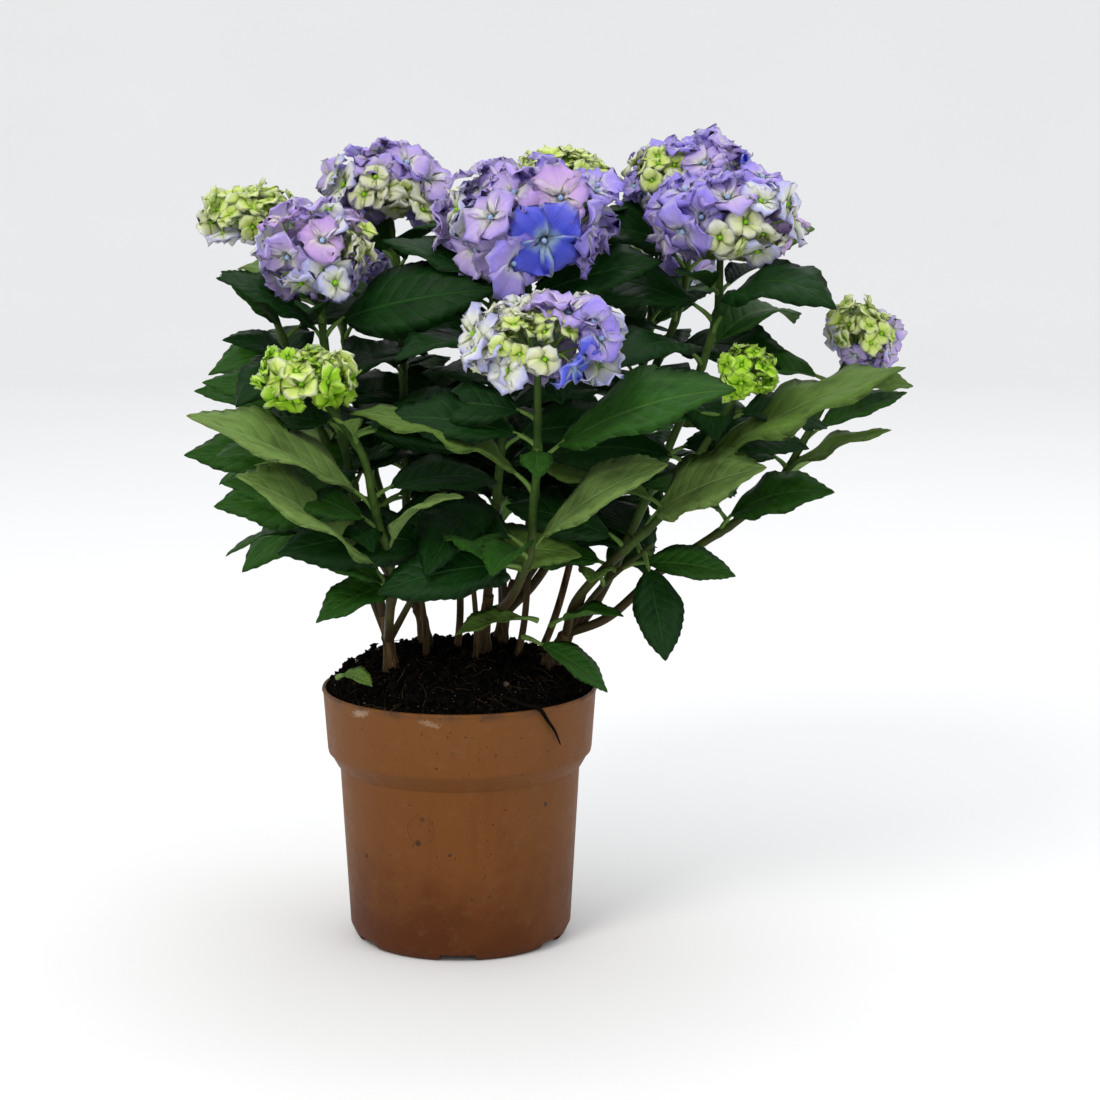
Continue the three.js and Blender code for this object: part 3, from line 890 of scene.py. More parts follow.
def pot_material(colour):
    """Matt brown plastic with dust, splashes and scuffs, with painted shade that makes it redder and darker
    low down and painted light that makes it lighter at the top.
    """
    nodes = Nodes("pot_plastic")
    place = nodes.place()
    height = nodes.height(place)
    base = (colour[0], 0.97 * colour[1], 0.72 * colour[2])
    # low is the plastic in painted shade, and high is the plastic in painted light from above.
    low = (base[0] * 0.58, base[1] * 0.42, base[2] * 0.28)
    high = (base[0] * 1.06, base[1] * 1.14, base[2] * 1.35)
    blotch = nodes.noise(place, 28.0, 5.0, 0.62)
    dust = nodes.noise(place, 120.0, 6.0, 0.7)
    runs = nodes.noise(place, 95.0, 3.0, 0.6, (1.0, 1.0, 0.09))
    specks = nodes.noise(place, 620.0, 1.0, 0.4)
    # The colour runs with height from painted shade at the foot to painted light at the rim.
    share = nodes.level(height, 0.0, POT_HEIGHT)
    share = nodes.plus(share, nodes.level(blotch, 0.3, 0.7, -0.16, 0.16))
    tone = nodes.ramp(share, [(0.02, low), (0.5, base), (0.95, high)])
    for amount, over in (
        (nodes.level(dust, 0.54, 0.76, 0.0, 0.16), (0.24, 0.14, 0.075)),
        (nodes.level(runs, 0.55, 0.78, 0.0, 0.24), low),
        (nodes.level(specks, 0.71, 0.76, 0.0, 0.7), (0.03, 0.014, 0.007)),
        (nodes.times(marks_of_soil(nodes, place), 0.8), (0.022, 0.012, 0.008)),
        (nodes.times(scuffs(nodes, place), 0.75), (0.40, 0.30, 0.22)),
        # The wall is made darker near the rim, in patches.
        (rim_darkening(nodes, place, height), (0.04, 0.026, 0.016)),
    ):
        tone = nodes.mix(amount, tone, over)
    grain = nodes.noise(place, 1500.0, 2.0, 0.5)
    normal = nodes.bump(grain, 0.18, 0.2 * MM, nodes.bump(blotch, 0.25, 1.2 * MM))
    rough = nodes.level(dust, 0.3, 0.7, 0.44, 0.62)
    return nodes.done(tone, rough, normal, specular=0.14)


# Flecks of soil on the front of the pot, each a place and a reach, in mm.
FLECKS = [
    *[((-16.5, -56.5, 74.5), 1.7), ((-19, -55.8, 62), 1.6), ((-3.5, -58.8, 56.5), 0.9)],
    *[((24, -55, 40), 0.8), ((-13, -57.5, 72.5), 1.1), ((-21.5, -55, 72.5), 0.9)],
    *[((-46, -37, 50), 1.1), ((44, -42, 78), 1.2), ((10, -58.5, 81), 0.8)],
]
RING_MIDDLE = (-0.0175, -0.0563, 0.0685)
RING_RADIUS = 7 * MM


def marks_of_soil(nodes, place):
    """Flecks of soil, and the faint ring that a splash left."""
    off_ring = nodes.size(nodes.less(nodes.away(place, RING_MIDDLE), RING_RADIUS))
    found = nodes.times(nodes.level(off_ring, 0.7 * MM, 0.2 * MM), 0.22)
    for centre, reach in FLECKS:
        found = nodes.most(found, spot(nodes, place, tuple(x * MM for x in centre), reach * MM))
    return found


def scuffs(nodes, place):
    """Two pale scuffs on the band."""
    left = scratch(nodes, place, (-0.0470, -0.0500, 0.1265), 7.0 * MM, 2.2 * MM, 0.25)
    right = scratch(nodes, place, (-0.0125, -0.0665, 0.1250), 6.0 * MM, 1.8 * MM, -0.25)
    return nodes.most(nodes.times(left, 0.7), nodes.times(right, 0.38))


def rim_darkening(nodes, place, height):
    """How much darker the wall is made near the rim, in patches, from 0 to 1."""
    patchy = nodes.noise(place, 90.0, 4.0, 0.65)
    near_rim = nodes.level(height, POT_HEIGHT - 5 * MM, POT_HEIGHT - 0.5 * MM)
    return nodes.times(near_rim, nodes.level(patchy, 0.42, 0.68, 0.0, 0.8))


SOIL_BELOW_RIM = 2.5 * MM
MOUND = 17 * MM
MOUND_BACK = 12 * MM  # how far behind the pot's middle the mound is highest
SKIRT_DEPTH = 30 * MM


def soil_height(x, y):
    """The height of the soil: a mound with lumps and grit on it."""
    away = math.hypot(x, y - MOUND_BACK) / RIM_RADIUS
    rim = math.hypot(x, y) / RIM_RADIUS
    mound = MOUND * max(0.0, 1 - away**4)
    lumps = noise.fractal(Vector((x, y, 0)) * 160, 0.6, 2.1, 5) * 2.6 * MM
    grit = noise.fractal(Vector((x, y, 0.3)) * 700, 0.7, 2.1, 3) * 0.8 * MM
    level = POT_HEIGHT - SOIL_BELOW_RIM
    return level + mound * max(0.0, 1 - rim**24) + (lumps + grit) * max(0.0, 1 - rim**16)


SOIL_CELLS = 84


def make_soil():
    """A mound of peat whose skirt goes down inside the pot."""
    reach = RIM_RADIUS - 2.2 * MM
    bm = bmesh.new()
    bmesh.ops.create_grid(bm, x_segments=SOIL_CELLS, y_segments=SOIL_CELLS, size=reach)
    for v in bm.verts:
        # A square grid becomes a disc with every row kept.
        x, y = v.co.x / reach, v.co.y / reach
        v.co.x = reach * x * math.sqrt(1 - 0.5 * y * y)
        v.co.y = reach * y * math.sqrt(1 - 0.5 * x * x)
        v.co.z = soil_height(v.co.x, v.co.y)
    brim = [e for e in bm.edges if e.is_boundary]
    skirt = bmesh.ops.extrude_edge_only(bm, edges=brim)["geom"]
    low = [g for g in skirt if isinstance(g, bmesh.types.BMVert)]
    for v in low:
        v.co.x *= 0.93
        v.co.y *= 0.93
        v.co.z = POT_HEIGHT - SKIRT_DEPTH
    bmesh.ops.contextual_create(bm, geom=[g for g in skirt if isinstance(g, bmesh.types.BMEdge)])
    bmesh.ops.recalc_face_normals(bm, faces=bm.faces[:])
    piece = object_of(bm, "soil_bed")
    piece.data.shade_smooth()
    piece.data.materials.append(soil_material())
    finish_piece(piece, "soil", "soil")


def soil_material():
    """Black peat: fibrous, with brown strands and a few pale grains."""
    nodes = Nodes("peat")
    place = nodes.place()
    clods = nodes.noise(place, 160.0, 6.0, 0.7)
    fibre = nodes.noise(place, 480.0, 4.0, 0.6, (1.0, 0.25, 1.0))
    blacks = [(0.0008, 0.0007, 0.0006), (0.0025, 0.002, 0.0016), (0.009, 0.0065, 0.0045)]
    colour = nodes.ramp(clods, list(zip((0.34, 0.56, 0.78), blacks)))
    colour = nodes.mix(nodes.level(fibre, 0.62, 0.72, 0.0, 0.6), colour, (0.055, 0.032, 0.016))
    grains = nodes.noise(place, 1100.0, 1.0, 0.3)
    colour = nodes.mix(nodes.level(grains, 0.74, 0.78, 0.0, 0.8), colour, (0.30, 0.26, 0.20))
    normal = nodes.bump(clods, 1.0, 1.5 * MM, nodes.bump(fibre, 0.8, 0.8 * MM))
    return nodes.done(colour, 0.95, normal, specular=0.02)


def crumb_material(name, colour):
    """A dry crumb's or strand's dull, speckled skin."""
    nodes = Nodes(name)
    tone = nodes.noise(nodes.place(), 900.0, 4.0, 0.7)
    shade = nodes.ramp(tone, [(0.3, tuple(0.4 * x for x in colour)), (0.7, colour)])
    return nodes.done(shade, 0.95, nodes.bump(tone, 0.8, 0.5 * MM), specular=0.02)


CRUMBS = 900
CRUMB_COLOURS = {
    "crumb_dark": (0.006, 0.0045, 0.0035),
    "crumb_pale": (0.13, 0.10, 0.07),
    "root_strand": (0.05, 0.03, 0.014),
}
DARK_SHARE = 0.975  # of the crumbs
STRANDS = 170


def place_on_soil(draw, reach):
    """A place on the soil as x and y, within a share of the rim's radius."""
    away = RIM_RADIUS * reach * math.sqrt(draw.random())
    turn = TURN * draw.random()
    return np.array([away * math.cos(turn), away * math.sin(turn)])


def crumb_verts(ball, draw):
    """A lumpy crumb that lies a quarter sunk in the soil."""
    at = place_on_soil(draw, 0.955)
    size = draw.uniform(0.7, 2.4) * MM
    lumps = 1 + 0.24 * draw.standard_normal(len(ball.verts))[:, None]
    sides = draw.uniform(0.6, 1.2, 3)
    return ball.verts * lumps * sides * size + [*at, soil_height(*at) + 0.25 * size]


def strand_way(draw):
    """A root strand's winding line over the soil."""
    at = place_on_soil(draw, 0.93)
    turn = draw.uniform(0, TURN)
    reach = draw.uniform(3, 9) * MM
    points = []
    for share in (-1, -0.3, 0.4, 1):
        turn += draw.uniform(-0.5, 0.5)
        here = at + share * reach * np.array([math.cos(turn), math.sin(turn)])
        here *= min(1, 0.95 * RIM_RADIUS / np.hypot(*here))
        points.append([*here, soil_height(*here) + draw.uniform(0.2, 1.6) * MM])
    return Way(points, 20)


def make_crumbs():
    """Loose crumbs and root strands that lie on the soil, and a root over the rim."""
    draw = draw_for("crumbs")
    heap = Heap()
    ball = ball_shape(2)
    for _ in range(CRUMBS):
        verts = crumb_verts(ball, draw)
        heap.add(ball, verts, 0 if draw.random() < DARK_SHARE else 1)
    strand = tube_shape(4, 7)
    for _ in range(STRANDS):
        way = strand_way(draw)
        thick = draw.uniform(0.14, 0.34) * MM
        heap.add_tube(strand, way, lambda s: thick * (1 - 0.5 * s), 2)
    heap.add_tube(tube_shape(5, 26), way_over_the_rim(), lambda s: 1.3 * MM * (1 - 0.75 * s**2))
    piece = heap.build("soil_crumbs", [crumb_material(*pair) for pair in CRUMB_COLOURS.items()])
    finish_piece(piece, "soil")


# The root over the rim: its radius as a share of the rim's, how far it lies below the rim, in mm, and how
# far it has turned from ROOT_COMPASS, in degrees.
ROOT_POINTS = [
    *[(0.80, -5.0, -14), (0.93, -1.8, -7), (1.012, -0.8, -3)],
    *[(1.02, 6, 1), (1.012, 12, 5), (1.0, 20, 9)],
]
ROOT_COMPASS = -52


def way_over_the_rim():
    """The line of a dark root that lies on the soil, crosses the rim in front and hangs down the band."""
    points = []
    for radius, drop, turn in ROOT_POINTS:
        points.append(radius * RIM_RADIUS * compass_way(ROOT_COMPASS + turn) + (POT_HEIGHT - drop * MM) * UP)
    return Way(points, 40)


# ---------- canes and shoots

# The shoots that grow from each cane.
SHOOTS_ON = {
    "left": ("front_left", "left", "low_left", "low_front"),
    "middle": ("front_centre", "centre"),
    "right": ("front_right", "right", "far_right", "low_right"),
    "back_left": ("far_left", "left_back", "rear_left", "low_back_left"),
    "back_right": ("centre_back", "right_back", "rear_centre", "rear_right", "low_back", "low_back_right"),
}
CANE_OF = {shoot: cane for cane, shoots in SHOOTS_ON.items() for shoot in shoots}
LOW_SHOOTS = ("low_left", "low_front", "low_right", "low_back", "low_back_left", "low_back_right")


def cane_way(name):
    """A cane's middle line, from a little below the soil to a little past its fork."""
    points = node_points("cane_" + name)
    low = end_of("cane_" + name, False)
    top = end_of("cane_" + name, True)
    half = 0.5 * (low[2] + top[2])
    middle = points[np.abs(points[:, 2] - half) < 3 * MM]
    waist = middle.mean(0) if len(middle) else 0.5 * (low + top)
    deeper = low + (low - waist) * 0.5
    return Way([deeper, low, waist, top, top + (top - waist) * 0.25])


def fork_on(cane, point):
    """Where on a cane a shoot that passes through the point leaves it: a little below."""
    nearest = np.argmin(np.linalg.norm(cane.places - point, axis=1))
    return cane.at(max(0.15, cane.shares[nearest] - 0.16))


def shoot_way(name):
    """A shoot's middle line, from inside its cane to inside its flower head."""
    root = end_of("shoot_" + name, False)
    start = fork_on(cane_way(CANE_OF[name]), root)
    leaves = middle_of("leaves_" + name)
    top = middle_of("head_" + name)
    points = [start]
    if name in STEM_BENDS:
        bends = [np.array(bend) * MM for bend in STEM_BENDS[name]]
        bends.append(top - 0.1 * (top - bends[-1]))
    else:
        bends = [root + 0.2 * (leaves - root), leaves, top - 0.12 * (top - leaves)]
    for point in bends:
        if np.linalg.norm(point - points[-1]) > 8 * MM:
            points.append(point)
    return Way(points, 90)


def low_way(name):
    """The middle line of a short side shoot that carries a low mass of leaves."""
    centre = middle_of("leaves_" + name)
    cane = cane_way(CANE_OF[name])
    start = cane.at(0.6)
    knee = start + 0.5 * (centre - start) + 0.08 * np.linalg.norm(centre - start) * UP
    return Way([start, knee, centre + 0.15 * (centre - knee)])


# Thin canes that stand between the main ones: foot, top and radius, in mm. Their feet are in the soil.
SIDE_CANES = [
    ((-18, 4), (-26, 10, 208), 1.9),
    ((-6, 18), (-2, 26, 214), 2.1),
    ((4, -2), (6, -12, 200), 1.7),
    ((22, 8), (36, 4, 206), 2.0),
    ((30, 22), (62, 24, 212), 2.2),
    ((36, -4), (66, -6, 186), 1.6),
]


SIDE_CANE_FOOT = 118


def make_canes():
    """The main canes, with ridges and peeling strips, and the thin ones."""
    tube = tube_shape(24, 90)
    heap = Heap()
    for name in SHOOTS_ON:
        draw = draw_for("cane" + name)
        phase = draw.uniform(0, TURN, 4)

        def radius(share):
            flare = 0.9 * np.exp(-np.maximum(share - 0.28, 0) / 0.08)
            joint = 0.5 * np.exp(-(((share - 0.66) / 0.035) ** 2))
            return (3.5 - 0.9 * share + flare + joint) * MM

        def relief(share, angle):
            ridges = 0.05 * np.sin(5 * angle + phase[0] + 2.2 * np.sin(7 * share + phase[1]))
            strips = 0.035 * np.sin(11 * angle + phase[2] + 3 * np.sin(5 * share))
            peel = 0.045 * np.maximum(0, np.sin(3 * angle + phase[3] + 9 * share)) ** 4
            lumps = 0.025 * np.sin(31 * share + 2 * np.sin(angle + phase[0]))
            return ridges + strips + peel + lumps

        heap.add_tube(tube, cane_way(name), radius, relief=relief)
    thin = tube_shape(10, 40)
    for foot, top, thick in SIDE_CANES:
        foot = np.array([*foot, SIDE_CANE_FOOT]) * MM
        top = np.array(top) * MM
        knee = 0.55 * foot + 0.45 * top + np.array([4, -3, 0]) * MM
        heap.add_tube(thin, Way([foot, knee, top], 40), lambda s: (thick - 0.5 * s) * MM)
    piece = heap.build("cane_bark", [bark_material()])
    finish_piece(piece, "bark", *["cane_" + name for name in SHOOTS_ON])


def make_shoots(seed):
    """The green stems, swollen a little where each pair of leaves leaves them."""
    tube = tube_shape(12, 72)
    heap = Heap()
    for name in HEADS:
        way = shoot_way(name)
        drops = sorted({one.drop for one in leaves_of(name, seed)})
        joints = [max(0.05, 1 - drop * MM / way.length) for drop in drops]

        def radius(share):
            swell = sum(0.45 * np.exp(-(((share - joint) / 0.012) ** 2)) for joint in joints)
            return (2.5 - 0.8 * share + swell) * MM

        heap.add_tube(tube, way, radius)
    for name in LOW_SHOOTS:
        heap.add_tube(tube, low_way(name), lambda share: (1.9 - 0.7 * share) * MM)
    greens = (0.016, 0.042, 0.006), (0.050, 0.095, 0.014)
    piece = heap.build("shoot_stems", [stem_material("green_stem", *greens, (0.040, 0.027, 0.010))])
    stems = [name for name in NODES if name.startswith("shoot_")]
    finish_piece(piece, "green_stem", *sorted(stems))


# ---------- leaves

CROWN_LOW, CROWN_HIGH = (np.array(corner[:2]) for corner in CAD_BOX)
CROWN_MIDDLE = 0.5 * (CROWN_LOW + CROWN_HIGH)
CROWN_HALF = 0.5 * (CROWN_HIGH - CROWN_LOW)
SPARE = 9 * MM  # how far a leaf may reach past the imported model's box
YOUNG_LENGTH = 52  # a blade shorter than this, in mm, is a young leaf


def mass_reach(name, compass):
    """How far a leaf mass reaches from its middle in a compass direction."""
    points = node_points("leaves_" + name)
    return float(((points - middle_of("leaves_" + name)) @ compass_way(compass)).max()) / MM


def grown_leaves(name, seed):
    """The leaves of a shoot by rule: a young pair under the flower head, then pairs that turn from one to
    the next, as long as the shoot's mass of leaves has room for."""
    draw = draw_for(f"leaves of {name} {seed}")
    phase = FIRST_PAIR[name]
    found = []
    for side in (0, 180):
        compass = phase + 75 + side + draw.uniform(-16, 16)
        found.append(Leaf(28 + draw.uniform(-3, 3), compass, draw.uniform(8, 30), draw.uniform(36, 50)))
    for pair in range(5):
        drop = 36 + 25 * pair + draw.uniform(-3, 3)
        for side in (0, 180):
            compass = phase + side + 62 * pair + draw.uniform(-9, 9)
            length = min(100, max(72, 1.15 * mass_reach(name, compass))) * draw.uniform(0.92, 1.06)
            rise = draw.uniform(10, 30) - 9 * pair
            found.append(Leaf(drop, compass, rise, length, draw.uniform(14, 44)))
    return found


def low_leaves(name, seed):
    """The leaves of a low side shoot by rule: smaller pairs that reach out level or hang."""
    draw = draw_for(f"low leaves of {name} {seed}")
    phase = draw.uniform(0, 180)
    found = []
    for pair in range(3):
        for side in (0, 180):
            compass = phase + side + 84 * pair + draw.uniform(-18, 18)
            length = draw.uniform(52, 74) - 4 * pair
            found.append(Leaf(4 + 13 * pair, compass, draw.uniform(-12, 26), length, draw.uniform(-4, 18)))
    return found


def leaves_of(name, seed):
    if name in SET_LEAVES:
        return [Leaf(*row) for row in SET_LEAVES[name]]
    by_rule = low_leaves if name in LOW_SHOOTS else grown_leaves
    return by_rule(name, seed)


def tone_and_shade_of(one, tip, draw):
    """A tone for a leaf that has none set: deep inside the crown and under the heads as painted shade,
    fresher further out and for a young leaf, partly as painted light.
    """
    if one.tone:
        return one.tone
    off = (tip[:2] - CROWN_MIDDLE) / CROWN_HALF
    outside = np.hypot(*off) + draw.normal(0, 0.16) + (0.12 if one.length < YOUNG_LENGTH else 0)
    return "deep" if outside < 0.86 else ("mid" if outside < 1.08 else "fresh")


LEAF_ROWS = 28
LEAF_COLUMNS = 4
LOWEST_LEAF = 12 * MM
BLADE_HALF_WIDTHS = (0.24, 0.29)  # as shares of a blade's length
BLADE_THICKNESS = 0.28 * MM  # half of it


def outline_width(u):
    """How wide a blade is at a share of its length: widest, with 1, a little before the middle."""
    taper = 1.12
    peak = 1 / (1 + taper)
    inside = np.clip(u, 0.004, 0.996)
    return inside * (1 - inside) ** taper / (peak * (1 - peak) ** taper)


def blade_verts(shape, size, draw, droop, cup, rise):
    """The blade's vertices with its foot at the origin, its length along +X and its upper side up."""
    u, v, layer = shape.verts.T
    width = size * draw.uniform(*BLADE_HALF_WIDTHS)
    out = np.abs(v) > 0.999
    tooth = np.round(u * shape.rows).astype(int) % 2
    ends = (u < 0.03) | (u > 0.985)
    edge = np.where(out & ~ends, np.where(tooth == 1, 1.012, 0.982), 1.0)
    along = u + np.where(out & ~ends & (tooth == 1), 0.35 / shape.rows, 0)
    half = width * outline_width(u) * edge
    steps = 59
    shares = np.linspace(0, 1, steps + 1)
    angles = math.radians(rise) - math.radians(droop) * shares**1.25
    runs = np.concatenate([[0], np.cumsum(np.cos(angles[:-1]))]) / steps * size
    lifts = np.concatenate([[0], np.cumsum(np.sin(angles[:-1]))]) / steps * size
    slope = np.interp(along, shares, angles)
    sway = draw.uniform(-0.10, 0.10) * size
    flat = np.abs(v)
    fold = math.radians(cup) * (1 - 0.55 * u)
    waves = draw.uniform(2.2, 3.6)
    phase = draw.uniform(0, TURN, 2)
    which = np.where(v > 0, phase[0], phase[1])
    wave = draw.uniform(0.05, 0.13) * np.sin(waves * TURN * u + which) * flat**2
    curl = -draw.uniform(0.06, 0.22) * flat**2.5
    swept = u - VEIN_SWEEP * flat
    gap = np.abs((swept * VEIN_PAIRS) % 1 - 0.5) * 2
    quilt = 0.011 * size * (1 - gap**2) * np.minimum(1, 4 * flat) * (1 - flat**3)
    rib = -0.010 * size * np.exp(-((flat / 0.14) ** 2)) * (1 - u)
    thick = layer * BLADE_THICKNESS * (1 + 2.2 * np.exp(-((flat / 0.12) ** 2)) * (layer < 0) * (1 - u))
    raised = half * (flat * np.sin(fold) + wave + curl) + quilt + rib + thick
    x = np.interp(along, shares, runs) - np.sin(slope) * raised
    z = np.interp(along, shares, lifts) + np.cos(slope) * raised
    y = half * v * np.cos(fold * flat) + sway * u**2
    return np.stack([x, y, z], 1)


def room_for(start, out):
    """How far a leaf may reach along out before it leaves the crown's box and what is spare round it."""
    rooms = []
    for axis in (0, 1):
        if abs(out[axis]) > 0.1:
            wall = CROWN_HIGH[axis] + SPARE if out[axis] > 0 else CROWN_LOW[axis] - SPARE
            rooms.append((wall - start[axis]) / out[axis])
    return min(rooms)


def make_leaf(heap, shapes, way, one, draw, scale):
    """One leaf with its stalk, from a stem's way."""
    start = way.at(max(0.03, 1 - one.drop * MM / way.length))
    out = compass_way(one.compass)
    size = min(one.length * MM * scale, 0.87 * room_for(start, out))
    young = one.length < YOUNG_LENGTH
    droop = one.droop or (draw.uniform(4, 30) if young else draw.uniform(35, 85))
    rise = one.rise + 0.35 * droop
    bends = [start]
    for steeper in (18, 5):
        tilt = math.radians(rise + steeper)
        half_stalk = size * (0.22 if young else 0.16) * 0.5
        bends.append(bends[-1] + half_stalk * (out * math.cos(tilt) + UP * math.sin(tilt)))
    foot = bends[-1]
    cup = draw.uniform(24, 48) if young else draw.uniform(12, 30)
    blade = blade_verts(shapes.blade, size, draw, droop, cup, rise)
    turn = math.radians(one.face + draw.uniform(-5, 5))
    facing = UP * math.cos(turn) + FRONT * math.sin(turn) * abs(out[0]) + out * 1e-3
    placed = blade @ basis(out, unit(facing)) + foot
    placed[:, 2] = np.maximum(placed[:, 2], LOWEST_LEAF)
    # The tone carries painted shade and light as well as the leaf's own green.
    tone = TONE_NAMES.index(tone_and_shade_of(one, placed[np.argmax(shapes.blade.verts[:, 0])], draw))
    slots = np.where(shapes.blade.upper, 2 * tone, 2 * tone + 1)
    heap.add(shapes.blade, placed, slots, tile_places(shapes.blade, slots))
    bends.append(foot + 0.05 * size * unit(foot - bends[1]))
    heap.add_tube(shapes.stalk, Way(bends, 24), lambda s: (1.55 - 0.75 * s) * MM, 2 * len(TONE_NAMES))


# Leaves low over the soil, away from the shoots: where each starts, in mm, and the leaf itself.
LOOSE_LEAVES = [
    ((-60, -31, 140), Leaf(0, -46, -2, 23, 44, "fresh", 40)),
    ((32, -27, 160), Leaf(0, -20, -38, 43, 26, "mid", 30)),
    ((40, -26, 168), Leaf(0, -160, -8, 36, 20, "fresh", 30)),
    ((46, -20, 164), Leaf(0, -30, 10, 36, 10, "mid", 30)),
]


def make_leaves(settings):
    """The leaves of each shoot as one piece, and the loose low ones as another."""
    shapes = SimpleNamespace(blade=sheet_shape(LEAF_ROWS, LEAF_COLUMNS), stalk=tube_shape(6, 6))
    materials = leaf_materials()
    for name in [*HEADS, *LOW_SHOOTS]:
        way = low_way(name) if name in LOW_SHOOTS else shoot_way(name)
        heap = Heap()
        draw = draw_for(f"blades of {name} {settings.seed}")
        for one in leaves_of(name, settings.seed):
            make_leaf(heap, shapes, way, one, draw, settings.leaf_scale)
        piece = heap.build("foliage_" + name, materials)
        finish_piece(piece, "leaf", "leaves_" + name)
    heap = Heap()
    draw = draw_for("loose leaves")
    for start, one in LOOSE_LEAVES:
        start = np.array(start) * MM
        way = Way([start - 4 * MM * UP, start, start + 0.1 * MM * UP], 8)
        make_leaf(heap, shapes, way, one, draw, settings.leaf_scale)
    finish_piece(heap.build("foliage_low_down", materials), "leaf")


# ---------- flower heads


INNER_SHARE = 0.9  # of the flowers have another one deeper in the head
SPACING = 0.27  # between two flowers' middles, as a share of their two sizes added
TRIES = 1600  # the places that are tried for the flowers of one head
GOLDEN_TURN = 2.399963
LARGE_FLOWER = 21 * MM  # a larger flower has the finest petals
SMALL_FLOWER = 12 * MM  # and one up to this size the plainest
PETAL_HALF_WIDTHS = (0.54, 0.72)  # as shares of a petal's length


def petal_verts(shape, length, draw, lift, ruffle):
    """One petal from the flower's eye at the origin along +X, with its face up."""
    u, v, layer = shape.verts.T
    wide = length * draw.uniform(*PETAL_HALF_WIDTHS)
    spread = 0.12 + 0.88 * np.sin(np.pi * np.clip(0.05 + 0.68 * u, 0, 1)) ** 0.75
    point = draw.uniform(-0.06, 0.16)
    end = 1 - (0.26 + point) * u**2 * v**2 - 0.10 * u**4 * np.abs(v) ** 3
    x = length * (0.05 + 0.95 * u * end)
    y = wide * v * spread + draw.uniform(-0.12, 0.12) * length * u**2
    phase = draw.uniform(0, TURN, 2)
    folds = draw.uniform(1.2, 2.8)
    wave = ruffle * length * np.sin(folds * np.pi * v + phase[0]) * u**1.5
    wave += 0.8 * ruffle * length * np.sin(3.3 * TURN * u + phase[1]) * v * np.abs(v) * u
    cup = draw.uniform(0.08, 0.26) * length * v**2 * (1 - 0.5 * u)
    curl = -draw.uniform(-0.12, 0.24) * length * u**3
    bend = lift * (1.05 - 0.85 * u)
    rise = length * u * np.sin(bend)
    thick = layer * (0.18 * MM if length > 8 * MM else 0.12 * MM)
    return np.stack([x * np.cos(bend * 0.8), y, rise + wave + cup + curl + thick], 1)


def make_flower(heap, shapes, centre, out, size, colour, openness, draw):
    """A flower of four petals round a small eye. openness runs from 0, cupped, to 1, flat."""
    petal = shapes.large if size > LARGE_FLOWER else (shapes.middle if size > SMALL_FLOWER else shapes.small)
    turn = draw.uniform(0, TURN)
    axes = basis(np.cross(out, [0.21, 0.35, 0.91]), out)
    lift = 0.95 - 0.55 * openness
    ruffle = 0.09 + 0.07 * openness
    slot = PETAL_NAMES.index(colour)
    for i in range(4):
        angle = turn + i * TURN / 4 + draw.uniform(-0.08, 0.08)
        reach = 0.5 * size * draw.uniform(0.88, 1.12)
        verts = petal_verts(petal, reach, draw, lift + draw.uniform(-0.22, 0.22), ruffle)
        over = (0.35 if i % 2 else -0.1) * MM
        c, s = math.cos(angle), math.sin(angle)
        x, y, z = verts.T
        spun = np.stack([c * x - s * y, s * x + c * y, z + over], 1)
        heap.add(petal, spun @ axes + centre, slot, tile_places(petal, slot))
    eye_slot = PETAL_NAMES.index("lime" if colour in GREENISH else "blue")
    bead = shapes.bead.verts * min(1.5 * MM, 0.075 * size) + 0.05 * size * UP
    corner = np.full((len(shapes.bead.loops), 2), tile_of(eye_slot)) + TILE_MARGIN
    heap.add(shapes.bead, bead @ axes + centre, eye_slot, corner)


def head_places(plan, half, draw):
    """A head's flowers, spaced by size: each its place about the head's middle, its way, its growth from 0 to
    1, its size in mm and its colour."""
    chosen = []
    for way, size, colour in plan.grown:
        way = unit(way)
        chosen.append(SimpleNamespace(place=way * half, way=way, growth=0.85, size=size, colour=colour))
    young = unit(plan.young)
    for i in draw.permutation(TRIES):
        z = 1 - 1.7 * (i + 0.5) / TRIES
        turn = i * GOLDEN_TURN
        flat = math.sqrt(max(0.0, 1 - z * z))
        way = np.array([flat * math.cos(turn), flat * math.sin(turn), z])
        from_young = 0.5 * (1 - way.dot(young))
        patchy = 0.45 * noise.noise(Vector(way * 2.3 + half * 40)) + draw.normal(0, 0.08)
        growth = float(np.clip(0.5 + 2.2 * (from_young - plan.young_share) + patchy, 0, 1))
        size = (plan.smallest + (plan.largest - plan.smallest) * growth) * draw.uniform(0.9, 1.1)
        place = way * half
        apart = [np.linalg.norm(place - other.place) > SPACING * (size + other.size) * MM for other in chosen]
        if all(apart):
            colour = colour_of(plan, growth, way, draw)
            chosen.append(SimpleNamespace(place=place, way=way, growth=growth, size=size, colour=colour))
    return chosen


def colour_of(plan, growth, way, draw):
    """A flower's colour: greenish while it is small, and then one of the head's, in patches."""
    if plan.colours[0] == "lime":
        return plan.colours[int(draw.uniform(0, len(plan.colours)))]
    if growth < 0.50:
        return ["green", "green", "cream", "cream", "pale"][int(growth * 10 * draw.uniform(0.8, 0.999))]
    patch = noise.noise(Vector(way * 1.9) + Vector((plan.largest, 3.1, plan.lean)))
    pick = int(np.clip((patch + 0.55 + draw.normal(0, 0.22)) * len(plan.colours), 0, len(plan.colours) - 1))
    return plan.colours[pick]


